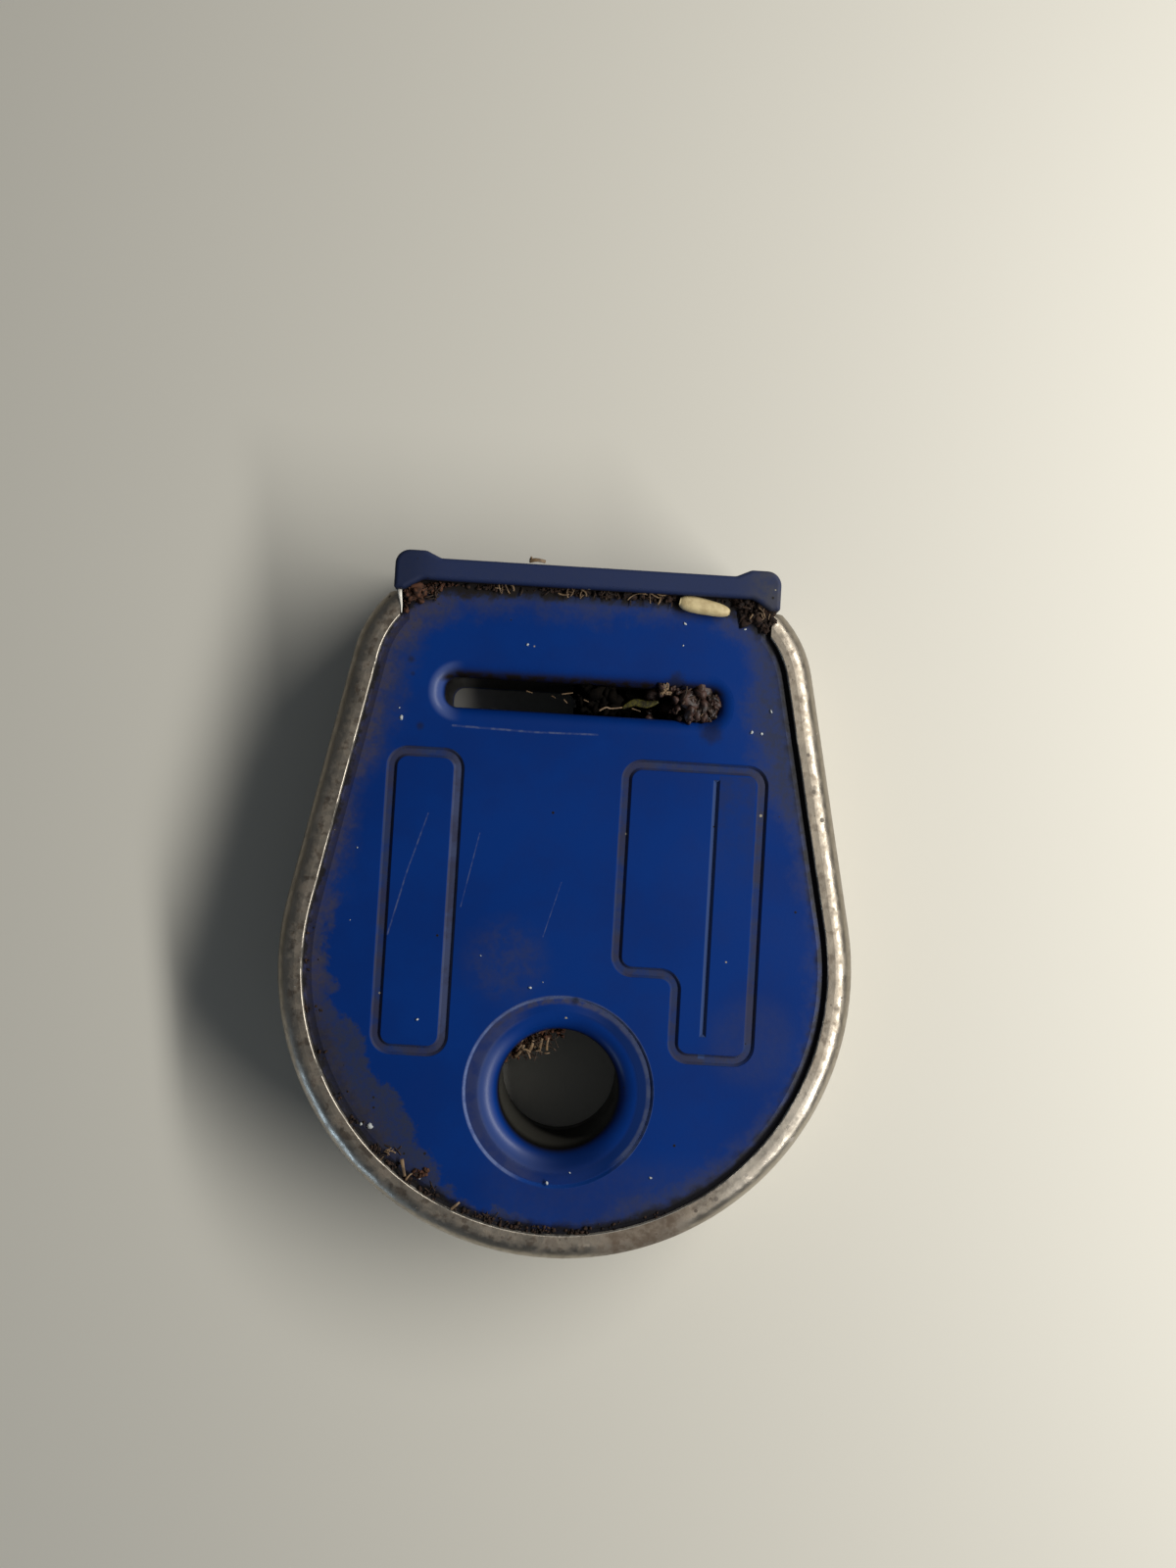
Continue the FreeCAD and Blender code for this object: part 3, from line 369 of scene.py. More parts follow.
def blue_plastic(name, worn_face):
    """Blue moulded plastic with film, dust, specks and scratches."""
    material = bpy.data.materials.new(name)
    material.use_nodes = True
    tree = material.node_tree
    shader = tree.nodes["Principled BSDF"]
    place = place_in_mm(tree)
    where = add_node(tree, "ShaderNodeSeparateXYZ", {"Vector": place}).outputs

    def patch(size, low, high):
        return use_group(tree, patches, {"Place": place, "Size": size, "Low": low, "High": high})["Mask"]

    colour = blend_colours(tree, patch(18.0, 0.35, 0.65), CLEAN_BLUE, DEEP_BLUE)
    distance = use_group(tree, edge_distance, {"Place": place})["Distance"]
    flat = add_node(tree, "ShaderNodeCombineXYZ", {"X": where["X"], "Y": where["Y"]}).outputs["Vector"]
    from_hole = vector_step(tree, "DISTANCE", flat, (*HOLE_CENTRE, 0.0)).outputs["Value"]
    width = 6.2
    if worn_face:
        low_left = vector_step(tree, "DISTANCE", flat, (-31.0, -33.0, 0.0)).outputs["Value"]
        high_left = vector_step(tree, "DISTANCE", flat, (-33.0, 34.0, 0.0)).outputs["Value"]
        high_right = vector_step(tree, "DISTANCE", flat, (34.0, 30.0, 0.0)).outputs["Value"]
        low_right = vector_step(tree, "DISTANCE", flat, (20.0, -48.0, 0.0)).outputs["Value"]
        for near, extent, extra in ((low_left, 25.0, 4.0), (high_left, 22.0, 1.8),
                                    (high_right, 24.0, 5.8), (low_right, 18.0, 3.8)):
            width = compute(tree, "ADD", width, compute(tree, "MULTIPLY", fall(tree, near, 4.0, extent), extra))
        width = compute(tree, "ADD", width, compute(tree, "MULTIPLY", rise(tree, where["Y"], 40.0, 45.0), 1.4))
        width = compute(tree, "ADD", width, compute(tree, "MULTIPLY", fall(tree, where["X"], -30.0, -10.0), 1.9))
    wander = blend_numbers(tree, patch(6.0, 0.3, 0.7), -1.3, 1.3)
    wander = compute(tree, "ADD", wander, blend_numbers(tree, patch(1.3, 0.3, 0.7), -0.5, 0.5))
    ragged = compute(tree, "ADD", distance, wander)
    ragged = compute(tree, "ADD", ragged, blend_numbers(tree, patch(0.6, 0.3, 0.7), -0.35, 0.35))
    film = fall(tree, ragged, compute(tree, "SUBTRACT", width, 4.2), compute(tree, "ADD", width, 2.2))
    if worn_face:
        crisp = fall(tree, ragged, compute(tree, "SUBTRACT", width, 0.9), compute(tree, "ADD", width, 0.5))
        film = blend_numbers(tree, fall(tree, low_left, 24.0, 42.0), film, crisp)
    if worn_face:
        from_patch = vector_step(tree, "DISTANCE", flat, (-9.5, -8.5, 0.0)).outputs["Value"]
        dull = compute(tree, "MULTIPLY", fall(tree, from_patch, 3.0, 8.5), blend_numbers(tree, patch(2.2, 0.38, 0.6), 0.35, 1.0))
        film = compute(tree, "MAXIMUM", film, compute(tree, "MULTIPLY", dull, 0.55))
        veil = compute(tree, "MULTIPLY", fall(tree, where["Y"], -42.0, -36.0), rise(tree, where["X"], -14.0, -6.0))
        from_veil = vector_step(tree, "DISTANCE", flat, (30.0, -19.0, 0.0)).outputs["Value"]
        veil = compute(tree, "MAXIMUM", veil, fall(tree, from_veil, 4.0, 9.0))
        film = compute(tree, "MAXIMUM", film, compute(tree, "MULTIPLY", veil, 0.30))
    streaky = blend_numbers(tree, patch(1.0, 0.38, 0.60), 0.70, 1.0)
    film = compute(tree, "MULTIPLY", film, streaky)
    greyer = compute(tree, "MULTIPLY", patch(2.6, 0.36, 0.62), 0.40)
    if worn_face:
        greyer = compute(tree, "MAXIMUM", greyer, compute(tree, "MULTIPLY", fall(tree, low_left, 8.0, 24.0), 0.9))
        greyer = compute(tree, "MAXIMUM", greyer, compute(tree, "MULTIPLY", fall(tree, high_right, 6.0, 22.0), 0.8))
    film_tint = blend_colours(tree, greyer, FILM, FILM_GREY)
    if worn_face:
        by_left_lip = compute(tree, "MULTIPLY", fall(tree, ragged, 5.8, 8.0), fall(tree, where["X"], -30.0, -16.0))
        film_tint = blend_colours(tree, compute(tree, "MULTIPLY", by_left_lip, 0.8), film_tint, FILM_WARM)
    colour = blend_colours(tree, compute(tree, "MULTIPLY", film, 0.92), colour, film_tint)
    if worn_face:
        packed = compute(tree, "MULTIPLY", fall(tree, ragged, 5.2, 8.2), fall(tree, low_left, 12.0, 24.0))
        colour = blend_colours(tree, compute(tree, "MULTIPLY", packed, 0.6), colour, (0.009, 0.010, 0.016))
        on_face = fall(tree, where["Y"], 47.9, 48.5)
        sunk = compute(tree, "MULTIPLY", fall(tree, where["Z"], FACE - 0.16, FACE - 0.02),
                       fall(tree, where["Y"], 26.5, 27.0))
        sunk = compute(tree, "MULTIPLY", sunk, rise(tree, distance, 6.4, 7.0))
        sunk = compute(tree, "MULTIPLY", sunk, rise(tree, from_hole, 15.1, 15.3))
        dusty = compute(tree, "MULTIPLY", sunk, blend_numbers(tree, patch(2.6, 0.35, 0.6), 0.55, 1.0))
        colour = blend_colours(tree, dusty, colour, LINE_DUST)
        # Painted light: the right line of the serial frame, whose groove lies in shade, is painted paler.
        painted_light_on_shaded_line = compute(tree, "MULTIPLY", rise(tree, where["X"], -20.0, -19.0), fall(tree, where["X"], -16.0, -15.0))
        painted_light_on_shaded_line = compute(tree, "MULTIPLY", compute(tree, "MULTIPLY", painted_light_on_shaded_line, sunk), 0.7)
        colour = blend_colours(tree, painted_light_on_shaded_line, colour, (0.060, 0.074, 0.140))
        browned = compute(tree, "MULTIPLY", sunk, patch(4.5, 0.42, 0.60))
        colour = blend_colours(tree, compute(tree, "MULTIPLY", browned, 0.6), colour, LINE_BROWN)
        above_hole = compute(tree, "SUBTRACT", where["Y"], HOLE_CENTRE[1])
        dusty_side = compute(tree, "SUBTRACT", compute(tree, "MULTIPLY", where["X"], -0.9),
                             compute(tree, "MULTIPLY", above_hole, 0.1))
        dusty_side = rise(tree, dusty_side, 2.0, 7.5)
        near_ring = fall(tree, compute(tree, "ABSOLUTE", compute(tree, "SUBTRACT", from_hole, 13.5)), 0.7, 1.4)
        # Painted shade: the right side of the ring, where its slope faces the lamp, is painted darker blue, and its
        # gloss is turned down there.
        shaded = compute(tree, "MULTIPLY", near_ring, rise(tree, where["X"], 0.0, 9.0))
        colour = blend_colours(tree, shaded, colour, RING_SHADE)
        near_ring = compute(tree, "MULTIPLY", near_ring, blend_numbers(tree, dusty_side, 0.0, 0.85))
        near_ring = compute(tree, "MULTIPLY", near_ring, blend_numbers(tree, patch(2.2, 0.35, 0.6), 0.6, 1.0))
        colour = blend_colours(tree, near_ring, colour, RING_DUST)
        smear = fall(tree, compute(tree, "ABSOLUTE", compute(tree, "SUBTRACT", from_hole, 14.4)), 0.3, 0.9)
        smear = compute(tree, "MULTIPLY", smear, rise(tree, above_hole, 5.0, 11.0))
        smear = compute(tree, "MULTIPLY", smear, blend_numbers(tree, patch(1.4, 0.40, 0.58), 0.30, 0.95))
        colour = blend_colours(tree, smear, colour, (0.042, 0.045, 0.088))
        below_right = vector_step(tree, "DISTANCE", flat, (2.0, -42.0, 0.0)).outputs["Value"]
        crest = fall(tree, compute(tree, "ABSOLUTE", compute(tree, "SUBTRACT", from_hole, 14.78)), 0.10, 0.36)
        faded = compute(tree, "MULTIPLY", crest, fall(tree, below_right, 6.5, 10.5))
        colour = blend_colours(tree, compute(tree, "MULTIPLY", faded, 0.9), colour, (0.004, 0.038, 0.200))
        crest = compute(tree, "MULTIPLY", crest, rise(tree, below_right, 6.5, 10.5))
        crest = compute(tree, "MULTIPLY", crest, blend_numbers(tree, patch(1.6, 0.35, 0.6), 0.5, 0.95))
        colour = blend_colours(tree, crest, colour, RUBBED_AND_HIGHLIGHT)
        low_crest = fall(tree, compute(tree, "ABSOLUTE", compute(tree, "SUBTRACT", from_hole, 14.2)), 0.12, 0.5)
        low_crest = compute(tree, "MULTIPLY", low_crest, rise(tree, where["X"], 2.0, 9.0))
        low_crest = compute(tree, "MULTIPLY", low_crest, rise(tree, below_right, 6.5, 10.5))
        low_crest = compute(tree, "MULTIPLY", low_crest, blend_numbers(tree, patch(1.6, 0.35, 0.6), 0.45, 0.9))
        colour = blend_colours(tree, low_crest, colour, (0.040, 0.052, 0.100))
        # Painted highlight: the mouth of the hole is painted paler on its left and lower side, where it faces the
        # lamp.
        hole_mouth_highlight = fall(tree, compute(tree, "ABSOLUTE", compute(tree, "SUBTRACT", from_hole, 11.6)), 0.6, 1.7)
        hole_mouth_highlight = compute(tree, "MULTIPLY", hole_mouth_highlight, fall(tree, where["X"], -7.0, 4.0))
        hole_mouth_highlight = compute(tree, "MULTIPLY", hole_mouth_highlight, fall(tree, where["Y"], -24.0, -19.0))
        colour = blend_colours(tree, compute(tree, "MULTIPLY", hole_mouth_highlight, 0.28), colour, RUBBED_AND_HIGHLIGHT)
        # Painted shade: the edge under the hole is painted darker blue, and its gloss is turned down.
        painted_shade_under_hole = compute(tree, "MULTIPLY", fall(tree, from_hole, 11.4, 14.0), fall(tree, above_hole, -11.0, -5.0))
        painted_shade_under_hole = compute(tree, "MULTIPLY", painted_shade_under_hole, rise(tree, where["X"], -8.0, 2.0))
        colour = blend_colours(tree, compute(tree, "MULTIPLY", painted_shade_under_hole, 0.75), colour, (0.0005, 0.009, 0.056))
        shaded = compute(tree, "MAXIMUM", shaded, painted_shade_under_hole)
        # Painted highlight: the left end of the slot's mouth is painted paler, where it faces the lamp.
        slot_end = vector_step(tree, "DISTANCE", flat, (-SLOT_HALF_LENGTH + SLOT_HALF_WIDTH, SLOT_CENTRE, 0.0)).outputs["Value"]
        slot_mouth_highlight = fall(tree, compute(tree, "ABSOLUTE", compute(tree, "SUBTRACT", slot_end, 3.7)), 0.6, 1.4)
        slot_mouth_highlight = compute(tree, "MULTIPLY", slot_mouth_highlight, fall(tree, where["X"], -21.5, -18.5))
        colour = blend_colours(tree, compute(tree, "MULTIPLY", slot_mouth_highlight, 0.34), colour, RUBBED_AND_HIGHLIGHT)
        # Painted highlight: the sunk divider line is painted paler blue instead of showing as a shaded groove.
        divider_highlight = fall(tree, compute(tree, "ABSOLUTE", compute(tree, "SUBTRACT", where["X"], 22.15)), 0.45, 0.60)
        divider_highlight = compute(tree, "MULTIPLY", divider_highlight, fall(tree, where["Z"], FACE - 0.10, FACE - 0.02))
        divider_highlight = compute(tree, "MULTIPLY", divider_highlight, fall(tree, compute(tree, "ABSOLUTE", where["Y"]), 22.0, 22.4))
        colour = blend_colours(tree, divider_highlight, colour, (0.030, 0.055, 0.150))
        panel = compute(tree, "MULTIPLY", rise(tree, where["X"], 22.5, 22.7), fall(tree, where["X"], 28.2, 28.5))
        panel = compute(tree, "MULTIPLY", panel, rise(tree, where["Y"], 2.0, 22.0))
        panel = compute(tree, "MULTIPLY", panel, fall(tree, where["Y"], 22.3, 22.6))
        panel = compute(tree, "MULTIPLY", panel, blend_numbers(tree, patch(3.0, 0.35, 0.6), 0.15, 0.45))
        colour = blend_colours(tree, panel, colour, FILM_GREY)
        flange = rise(tree, where["Y"], 48.2, 48.7)
        colour = blend_colours(tree, compute(tree, "MULTIPLY", flange, 0.9), colour, FLANGE_FILM)
        # Painted shade: the left end of the flange, away from the lamp, is painted darker.
        left_end_painted_shade = compute(tree, "MULTIPLY", flange, fall(tree, where["X"], -29.0, -22.0))
        colour = blend_colours(tree, compute(tree, "MULTIPLY", left_end_painted_shade, 0.6), colour, (0.006, 0.010, 0.028))
        right_end = compute(tree, "MULTIPLY", flange, rise(tree, where["X"], 22.5, 29.0))
        right_end = compute(tree, "MULTIPLY", right_end, blend_numbers(tree, patch(2.0, 0.35, 0.6), 0.25, 0.9))
        colour = blend_colours(tree, right_end, colour, (0.042, 0.043, 0.058))
        arc = compute(tree, "MULTIPLY", compute(tree, "MULTIPLY", where["X"], where["X"]), 0.0016)
        seam_reach = compute(tree, "ADD", where["Y"], compute(tree, "ADD", arc, blend_numbers(
            tree, patch(2.0, 0.3, 0.7), -0.7, 0.7)))
        seam = compute(tree, "MULTIPLY", rise(tree, seam_reach, 48.4, 49.8), fall(tree, where["Z"], 22.2, 23.2))
        seam = compute(tree, "MULTIPLY", seam, fall(tree, where["Y"], 50.7, 51.0))
        seam = compute(tree, "MULTIPLY", seam, fall(tree, compute(tree, "ABSOLUTE", where["X"]), 29.6, 30.2))
        # Painted shade: the walls of the slot and the hole below the face (deep) are painted brown and then nearly
        # black. The band on the fillet above the slot is painted darker brown.
        deep = compute(tree, "MULTIPLY", fall(tree, where["Z"], 18.0, 20.4), rise(tree, distance, 4.0, 5.0))
        above_slot = compute(tree, "MULTIPLY", rise(tree, where["Y"], 34.6, 35.6), fall(tree, where["Y"], 38.0, 38.8))
        above_slot = compute(tree, "MULTIPLY", above_slot, fall(tree, where["Z"], 20.4, 21.36))
        above_slot = compute(tree, "MULTIPLY", above_slot, blend_numbers(tree, patch(2.2, 0.35, 0.55), 0.7, 1.0))
        brown = compute(tree, "MAXIMUM", seam, compute(tree, "MULTIPLY", deep, 0.96))
        brown = compute(tree, "MAXIMUM", brown, above_slot)
        colour = blend_colours(tree, brown, colour, BROWN_DIRT_AND_SHADE)
        colour = blend_colours(tree, deep, colour, (0.0035, 0.0028, 0.0022))
        smudged = None
        for x, y, inner, outer, strength in SMUDGES:
            apart = vector_step(tree, "DISTANCE", flat, (x, y, 0.0)).outputs["Value"]
            apart = compute(tree, "ADD", apart, blend_numbers(tree, patch(1.2, 0.3, 0.7), -0.5 * inner, 0.5 * inner))
            one = compute(tree, "MULTIPLY", fall(tree, apart, inner, outer), strength)
            smudged = one if smudged is None else compute(tree, "MAXIMUM", smudged, one)
        colour = blend_colours(tree, smudged, colour, (0.010, 0.011, 0.020))
        # Dirt and painted shadow: a nearly black band in the gap between the face and the lip, wider on the right,
        # where the lip shades the gap.
        open_side = compute(tree, "SUBTRACT", where["X"], compute(tree, "MULTIPLY", where["Y"], 0.5))
        open_side = rise(tree, open_side, -16.0, 6.0)
        gap_reach = compute(tree, "ADD", distance, blend_numbers(tree, patch(2.4, 0.3, 0.7), -0.5, 0.4))
        gap = fall(tree, gap_reach, blend_numbers(tree, open_side, 4.2, 4.9), blend_numbers(tree, open_side, 5.0, 6.5))
        gap = compute(tree, "MULTIPLY", gap, on_face)
        colour = blend_colours(tree, compute(tree, "MULTIPLY", gap, 0.95), colour, GAP_DIRT_AND_SHADOW)
    hole_wall = compute(tree, "MULTIPLY", fall(tree, from_hole, 10.2, 10.8), fall(tree, where["Z"], 14.0, 18.5))
    colour = blend_colours(tree, hole_wall, colour, HOLE_WALL)
    scratch_height = None
    marks = [((-28.2, -5.5), (-25.8, 4.4), 0.16), ((-25.8, 4.4), (-23.0, 13.8), 0.14),
             ((-17.0, -0.5), (-14.7, 11.2), 0.10), ((-20.0, 27.9), (-7.1, 27.6), 0.22),
             ((-7.1, 27.6), (2.9, 27.8), 0.20), ((-3.8, -4.5), (-1.4, 4.2), 0.08)]
    if worn_face:
        for start, end, breadth in marks:
            line = use_group(tree, mark, {"Place": place, "Start": (*start, FACE), "End": (*end, FACE),
                                          "Width": breadth})["Mask"]
            scratch_height = line if scratch_height is None else compute(tree, "MAXIMUM", scratch_height, line)
        worn_line = compute(tree, "MULTIPLY", scratch_height, blend_numbers(tree, patch(1.2, 0.4, 0.6), 0.12, 0.5))
        colour = blend_colours(tree, worn_line, colour, (0.12, 0.14, 0.21))
    fine = use_group(tree, specks, {"Place": place, "Spacing": 1.7, "Radius": 0.10,
                                    "Chance": compute(tree, "ADD", 0.02, compute(tree, "MULTIPLY", film, 0.22))})
    colour = blend_colours(tree, fine["Mask"], colour, BROWN_DIRT_AND_SHADE)
    pale = use_group(tree, specks, {"Place": place, "Spacing": 4.2, "Radius": 0.045, "Chance": 0.16})
    colour = blend_colours(tree, pale["Mask"], colour, PALE_SPECK)
    tree.links.new(colour, shader.inputs["Base Color"])

    shader.inputs["Specular IOR Level"].default_value = 0.22
    polish = blend_numbers(tree, patch(9.0, 0.35, 0.65), 0.33, 0.38)
    matte = compute(tree, "MAXIMUM", film, shaded) if worn_face else film
    tree.links.new(blend_numbers(tree, matte, polish, 0.66), shader.inputs["Roughness"])
    if worn_face:
        tree.links.new(blend_numbers(tree, shaded, 0.22, 0.05), shader.inputs["Specular IOR Level"])
    grain = add_node(tree, "ShaderNodeTexNoise", {"Vector": place, "Scale": 2.6, "Detail": 4.0,
                                                  "Roughness": 0.6}).outputs[0]
    height = compute(tree, "MULTIPLY", grain, 0.10)
    if scratch_height is not None:
        height = compute(tree, "SUBTRACT", height, compute(tree, "MULTIPLY", scratch_height, 0.10))
    height = compute(tree, "ADD", height, compute(tree, "MULTIPLY", fine["Mask"], 0.08))
    bump = add_node(tree, "ShaderNodeBump", {"Height": height, "Strength": 0.35, "Distance": 0.3 * MM})
    tree.links.new(bump.outputs["Normal"], shader.inputs["Normal"])
    return material


def finish_node(node, material):
    """Give a solid its finish through its material slots, leaving its mesh alone."""
    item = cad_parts[node]
    for place in item.material_slots:
        place.material = material


finish_node("front_housing", blue_plastic("worn_blue", True))
finish_node("back_cover", blue_plastic("cover_blue", False))

# %% [markdown]
# ## Worn steel
# The strip was bright stainless steel. Now its lip is mottled beige-grey, with brown specks
# where dirt has dried on, and only the rounded edge still shines. Metal mostly shows
# what it reflects, so the recipe changes how rough it is and how much of it is metal.
# Along its cut inner edge the shading leans inwards, as on a sheared sheet, so that edge
# catches the light on the left and stays dark on the right. Some colour is painted light:
# the cut edge and the lower right are painted paler as painted highlights, and the right
# side is painted duller as painted shade.

# %% Worn steel
STEEL = (0.47, 0.42, 0.35)
STEEL_MATTE = (0.37, 0.315, 0.25)
STEEL_DULL_AND_SHADE = (0.27, 0.235, 0.185)
STEEL_STAIN = (0.052, 0.036, 0.026)
STEEL_BLOT = (0.120, 0.085, 0.062)
STEEL_EDGE_HIGHLIGHT = (0.62, 0.58, 0.50)

steel = bpy.data.materials.new("worn_steel")
steel.use_nodes = True
tree = steel.node_tree
shader = tree.nodes["Principled BSDF"]
place = place_in_mm(tree)
distance = use_group(tree, edge_distance, {"Place": place})["Distance"]
mottle = use_group(tree, patches, {"Place": place, "Size": 1.6, "Low": 0.40, "High": 0.66})["Mask"]
broad = use_group(tree, patches, {"Place": place, "Size": 9.0, "Low": 0.38, "High": 0.66})["Mask"]
inner_lip = rise(tree, distance, 1.4, 3.2)
stain = compute(tree, "MULTIPLY", use_group(tree, patches, {
    "Place": place, "Size": 3.4, "Low": 0.52, "High": 0.68})["Mask"], blend_numbers(tree, inner_lip, 0.35, 0.9))
dots = use_group(tree, specks, {"Place": place, "Spacing": 1.5, "Radius": 0.20,
                                "Chance": blend_numbers(tree, inner_lip, 0.08, 0.26)})["Mask"]
large_dots = use_group(tree, specks, {"Place": place, "Spacing": 4.0, "Radius": 0.13, "Chance": 0.35})["Mask"]
parts = add_node(tree, "ShaderNodeSeparateXYZ", {"Vector": place}).outputs
large_dots = compute(tree, "MULTIPLY", large_dots, blend_numbers(tree, rise(tree, parts["Z"], 17.0, 21.0), 0.25, 1.0))
dirt_mask = compute(tree, "MAXIMUM", compute(tree, "MULTIPLY", dots, 0.75), large_dots)
colour = blend_colours(tree, compute(tree, "MULTIPLY", mottle, blend_numbers(tree, inner_lip, 0.45, 0.85)),
                       STEEL, STEEL_DULL_AND_SHADE)
colour = blend_colours(tree, compute(tree, "MULTIPLY", broad, 0.35), colour, STEEL_DULL_AND_SHADE)
matte_reach = compute(tree, "ADD", distance, blend_numbers(tree, mottle, -0.25, 0.25))
matte = rise(tree, matte_reach, 1.7, 2.5)
colour = blend_colours(tree, compute(tree, "MULTIPLY", matte, 0.6), colour, STEEL_MATTE)
blots = use_group(tree, patches, {"Place": place, "Size": 2.0, "Low": 0.50, "High": 0.62})["Mask"]
blots = compute(tree, "MULTIPLY", blots, blend_numbers(tree, matte, 0.10, 0.60))
colour = blend_colours(tree, blots, colour, STEEL_BLOT)
colour = blend_colours(tree, compute(tree, "MULTIPLY", stain, 0.65), colour, STEEL_STAIN)
colour = blend_colours(tree, dirt_mask, colour, STEEL_STAIN)
shady_side = compute(tree, "MULTIPLY", fall(tree, parts["X"], -22.0, -12.0), rise(tree, parts["Y"], -26.0, -10.0))
shady_side = compute(tree, "MULTIPLY", shady_side, fall(tree, distance, 0.6, 1.8))
colour = blend_colours(tree, compute(tree, "MULTIPLY", shady_side, 0.65), colour, (0.085, 0.070, 0.052))
stained_end = fall(tree, compute(tree, "ABSOLUTE", compute(tree, "SUBTRACT", parts["X"], 14.5)), 4.0, 9.5)
stained_end = compute(tree, "MULTIPLY", stained_end, fall(tree, parts["Y"], -42.0, -38.0))
stained_end = compute(tree, "MULTIPLY", stained_end, blend_numbers(tree, mottle, 0.65, 0.95))
colour = blend_colours(tree, stained_end, colour, (0.120, 0.086, 0.058))
# Painted shade: the right side of the strip, where the lamp is reflected, is painted duller.
lit_side_painted_shade = compute(tree, "MULTIPLY", rise(tree, parts["X"], 22.0, 30.0), rise(tree, parts["Y"], -22.0, -6.0))
colour = blend_colours(tree, compute(tree, "MULTIPLY", lit_side_painted_shade, 0.45), colour, STEEL_DULL_AND_SHADE)
# Painted highlight: the lower right of the strip is painted paler.
low_right_painted_highlight = compute(tree, "MULTIPLY", rise(tree, parts["X"], 24.0, 29.0), fall(tree, parts["Y"], -30.0, -20.0))
colour = blend_colours(tree, compute(tree, "MULTIPLY", low_right_painted_highlight, 0.5), colour, (0.60, 0.55, 0.47))
# Painted highlight: the cut inner edge is painted paler all the way round.
cut_edge_highlight = rise(tree, distance, LIP_WIDTH - 0.12, LIP_WIDTH - 0.06)
colour = blend_colours(tree, compute(tree, "MULTIPLY", cut_edge_highlight, 0.7), colour, STEEL_EDGE_HIGHLIGHT)
tree.links.new(colour, shader.inputs["Base Color"])
soiled = compute(tree, "MAXIMUM", dirt_mask, compute(tree, "MULTIPLY", stain, 0.6))
soiled = compute(tree, "MAXIMUM", soiled, compute(tree, "MULTIPLY", stained_end, 0.8))
tree.links.new(blend_numbers(tree, soiled, 1.0, 0.15), shader.inputs["Metallic"])
rough = compute(tree, "ADD", blend_numbers(tree, mottle, 0.30, 0.42), compute(tree, "MULTIPLY", matte, 0.16))
tree.links.new(blend_numbers(tree, soiled, rough, 0.85), shader.inputs["Roughness"])
dents = add_node(tree, "ShaderNodeTexNoise", {"Vector": place, "Scale": 0.16, "Detail": 2.0}).outputs[0]
pits = add_node(tree, "ShaderNodeTexNoise", {"Vector": place, "Scale": 1.8, "Detail": 5.0,
                                             "Roughness": 0.7}).outputs[0]
height = compute(tree, "ADD", compute(tree, "MULTIPLY", dents, 1.2), compute(tree, "MULTIPLY", pits, 0.10))
height = compute(tree, "ADD", height, compute(tree, "MULTIPLY", dirt_mask, 0.12))
height = compute(tree, "SUBTRACT", height, compute(
    tree, "MULTIPLY", rise(tree, distance, LIP_WIDTH - 0.14, LIP_WIDTH), use_group(tree, patches, {
        "Place": place, "Size": 8.0, "Low": 0.35, "High": 0.6})["Mask"]))
bump = add_node(tree, "ShaderNodeBump", {"Height": height, "Strength": 0.5, "Distance": 0.5 * MM})
tree.links.new(bump.outputs["Normal"], shader.inputs["Normal"])
finish_node("steel_rim", steel)

# %% [markdown]
# ## Finishes of the sealed parts
# Nothing of the electronics shows while the housing is closed, but each piece gets the look
# of its own material all the same. One recipe with two colours, patches and a fine grain
# serves them all, with other numbers each time.

# %% Finishes of the sealed parts
def simple_finish(name, first, second, size, roughness, metallic, grain, shine=0.5):
    """Two shades of a colour in patches, with a fine grain."""
    material = bpy.data.materials.new(name)
    material.use_nodes = True
    tree = material.node_tree
    shader = tree.nodes["Principled BSDF"]
    place = place_in_mm(tree)
    mask = use_group(tree, patches, {"Place": place, "Size": size, "Low": 0.35, "High": 0.65})["Mask"]
    tree.links.new(blend_colours(tree, mask, first, second), shader.inputs["Base Color"])
    tree.links.new(blend_numbers(tree, mask, roughness, roughness + 0.15), shader.inputs["Roughness"])
    shader.inputs["Metallic"].default_value = metallic
    shader.inputs["Specular IOR Level"].default_value = shine
    noise = add_node(tree, "ShaderNodeTexNoise", {"Vector": place, "Scale": grain, "Detail": 4.0}).outputs[0]
    bump = add_node(tree, "ShaderNodeBump", {"Height": noise, "Strength": 0.4, "Distance": 0.05 * MM})
    tree.links.new(bump.outputs["Normal"], shader.inputs["Normal"])
    return material


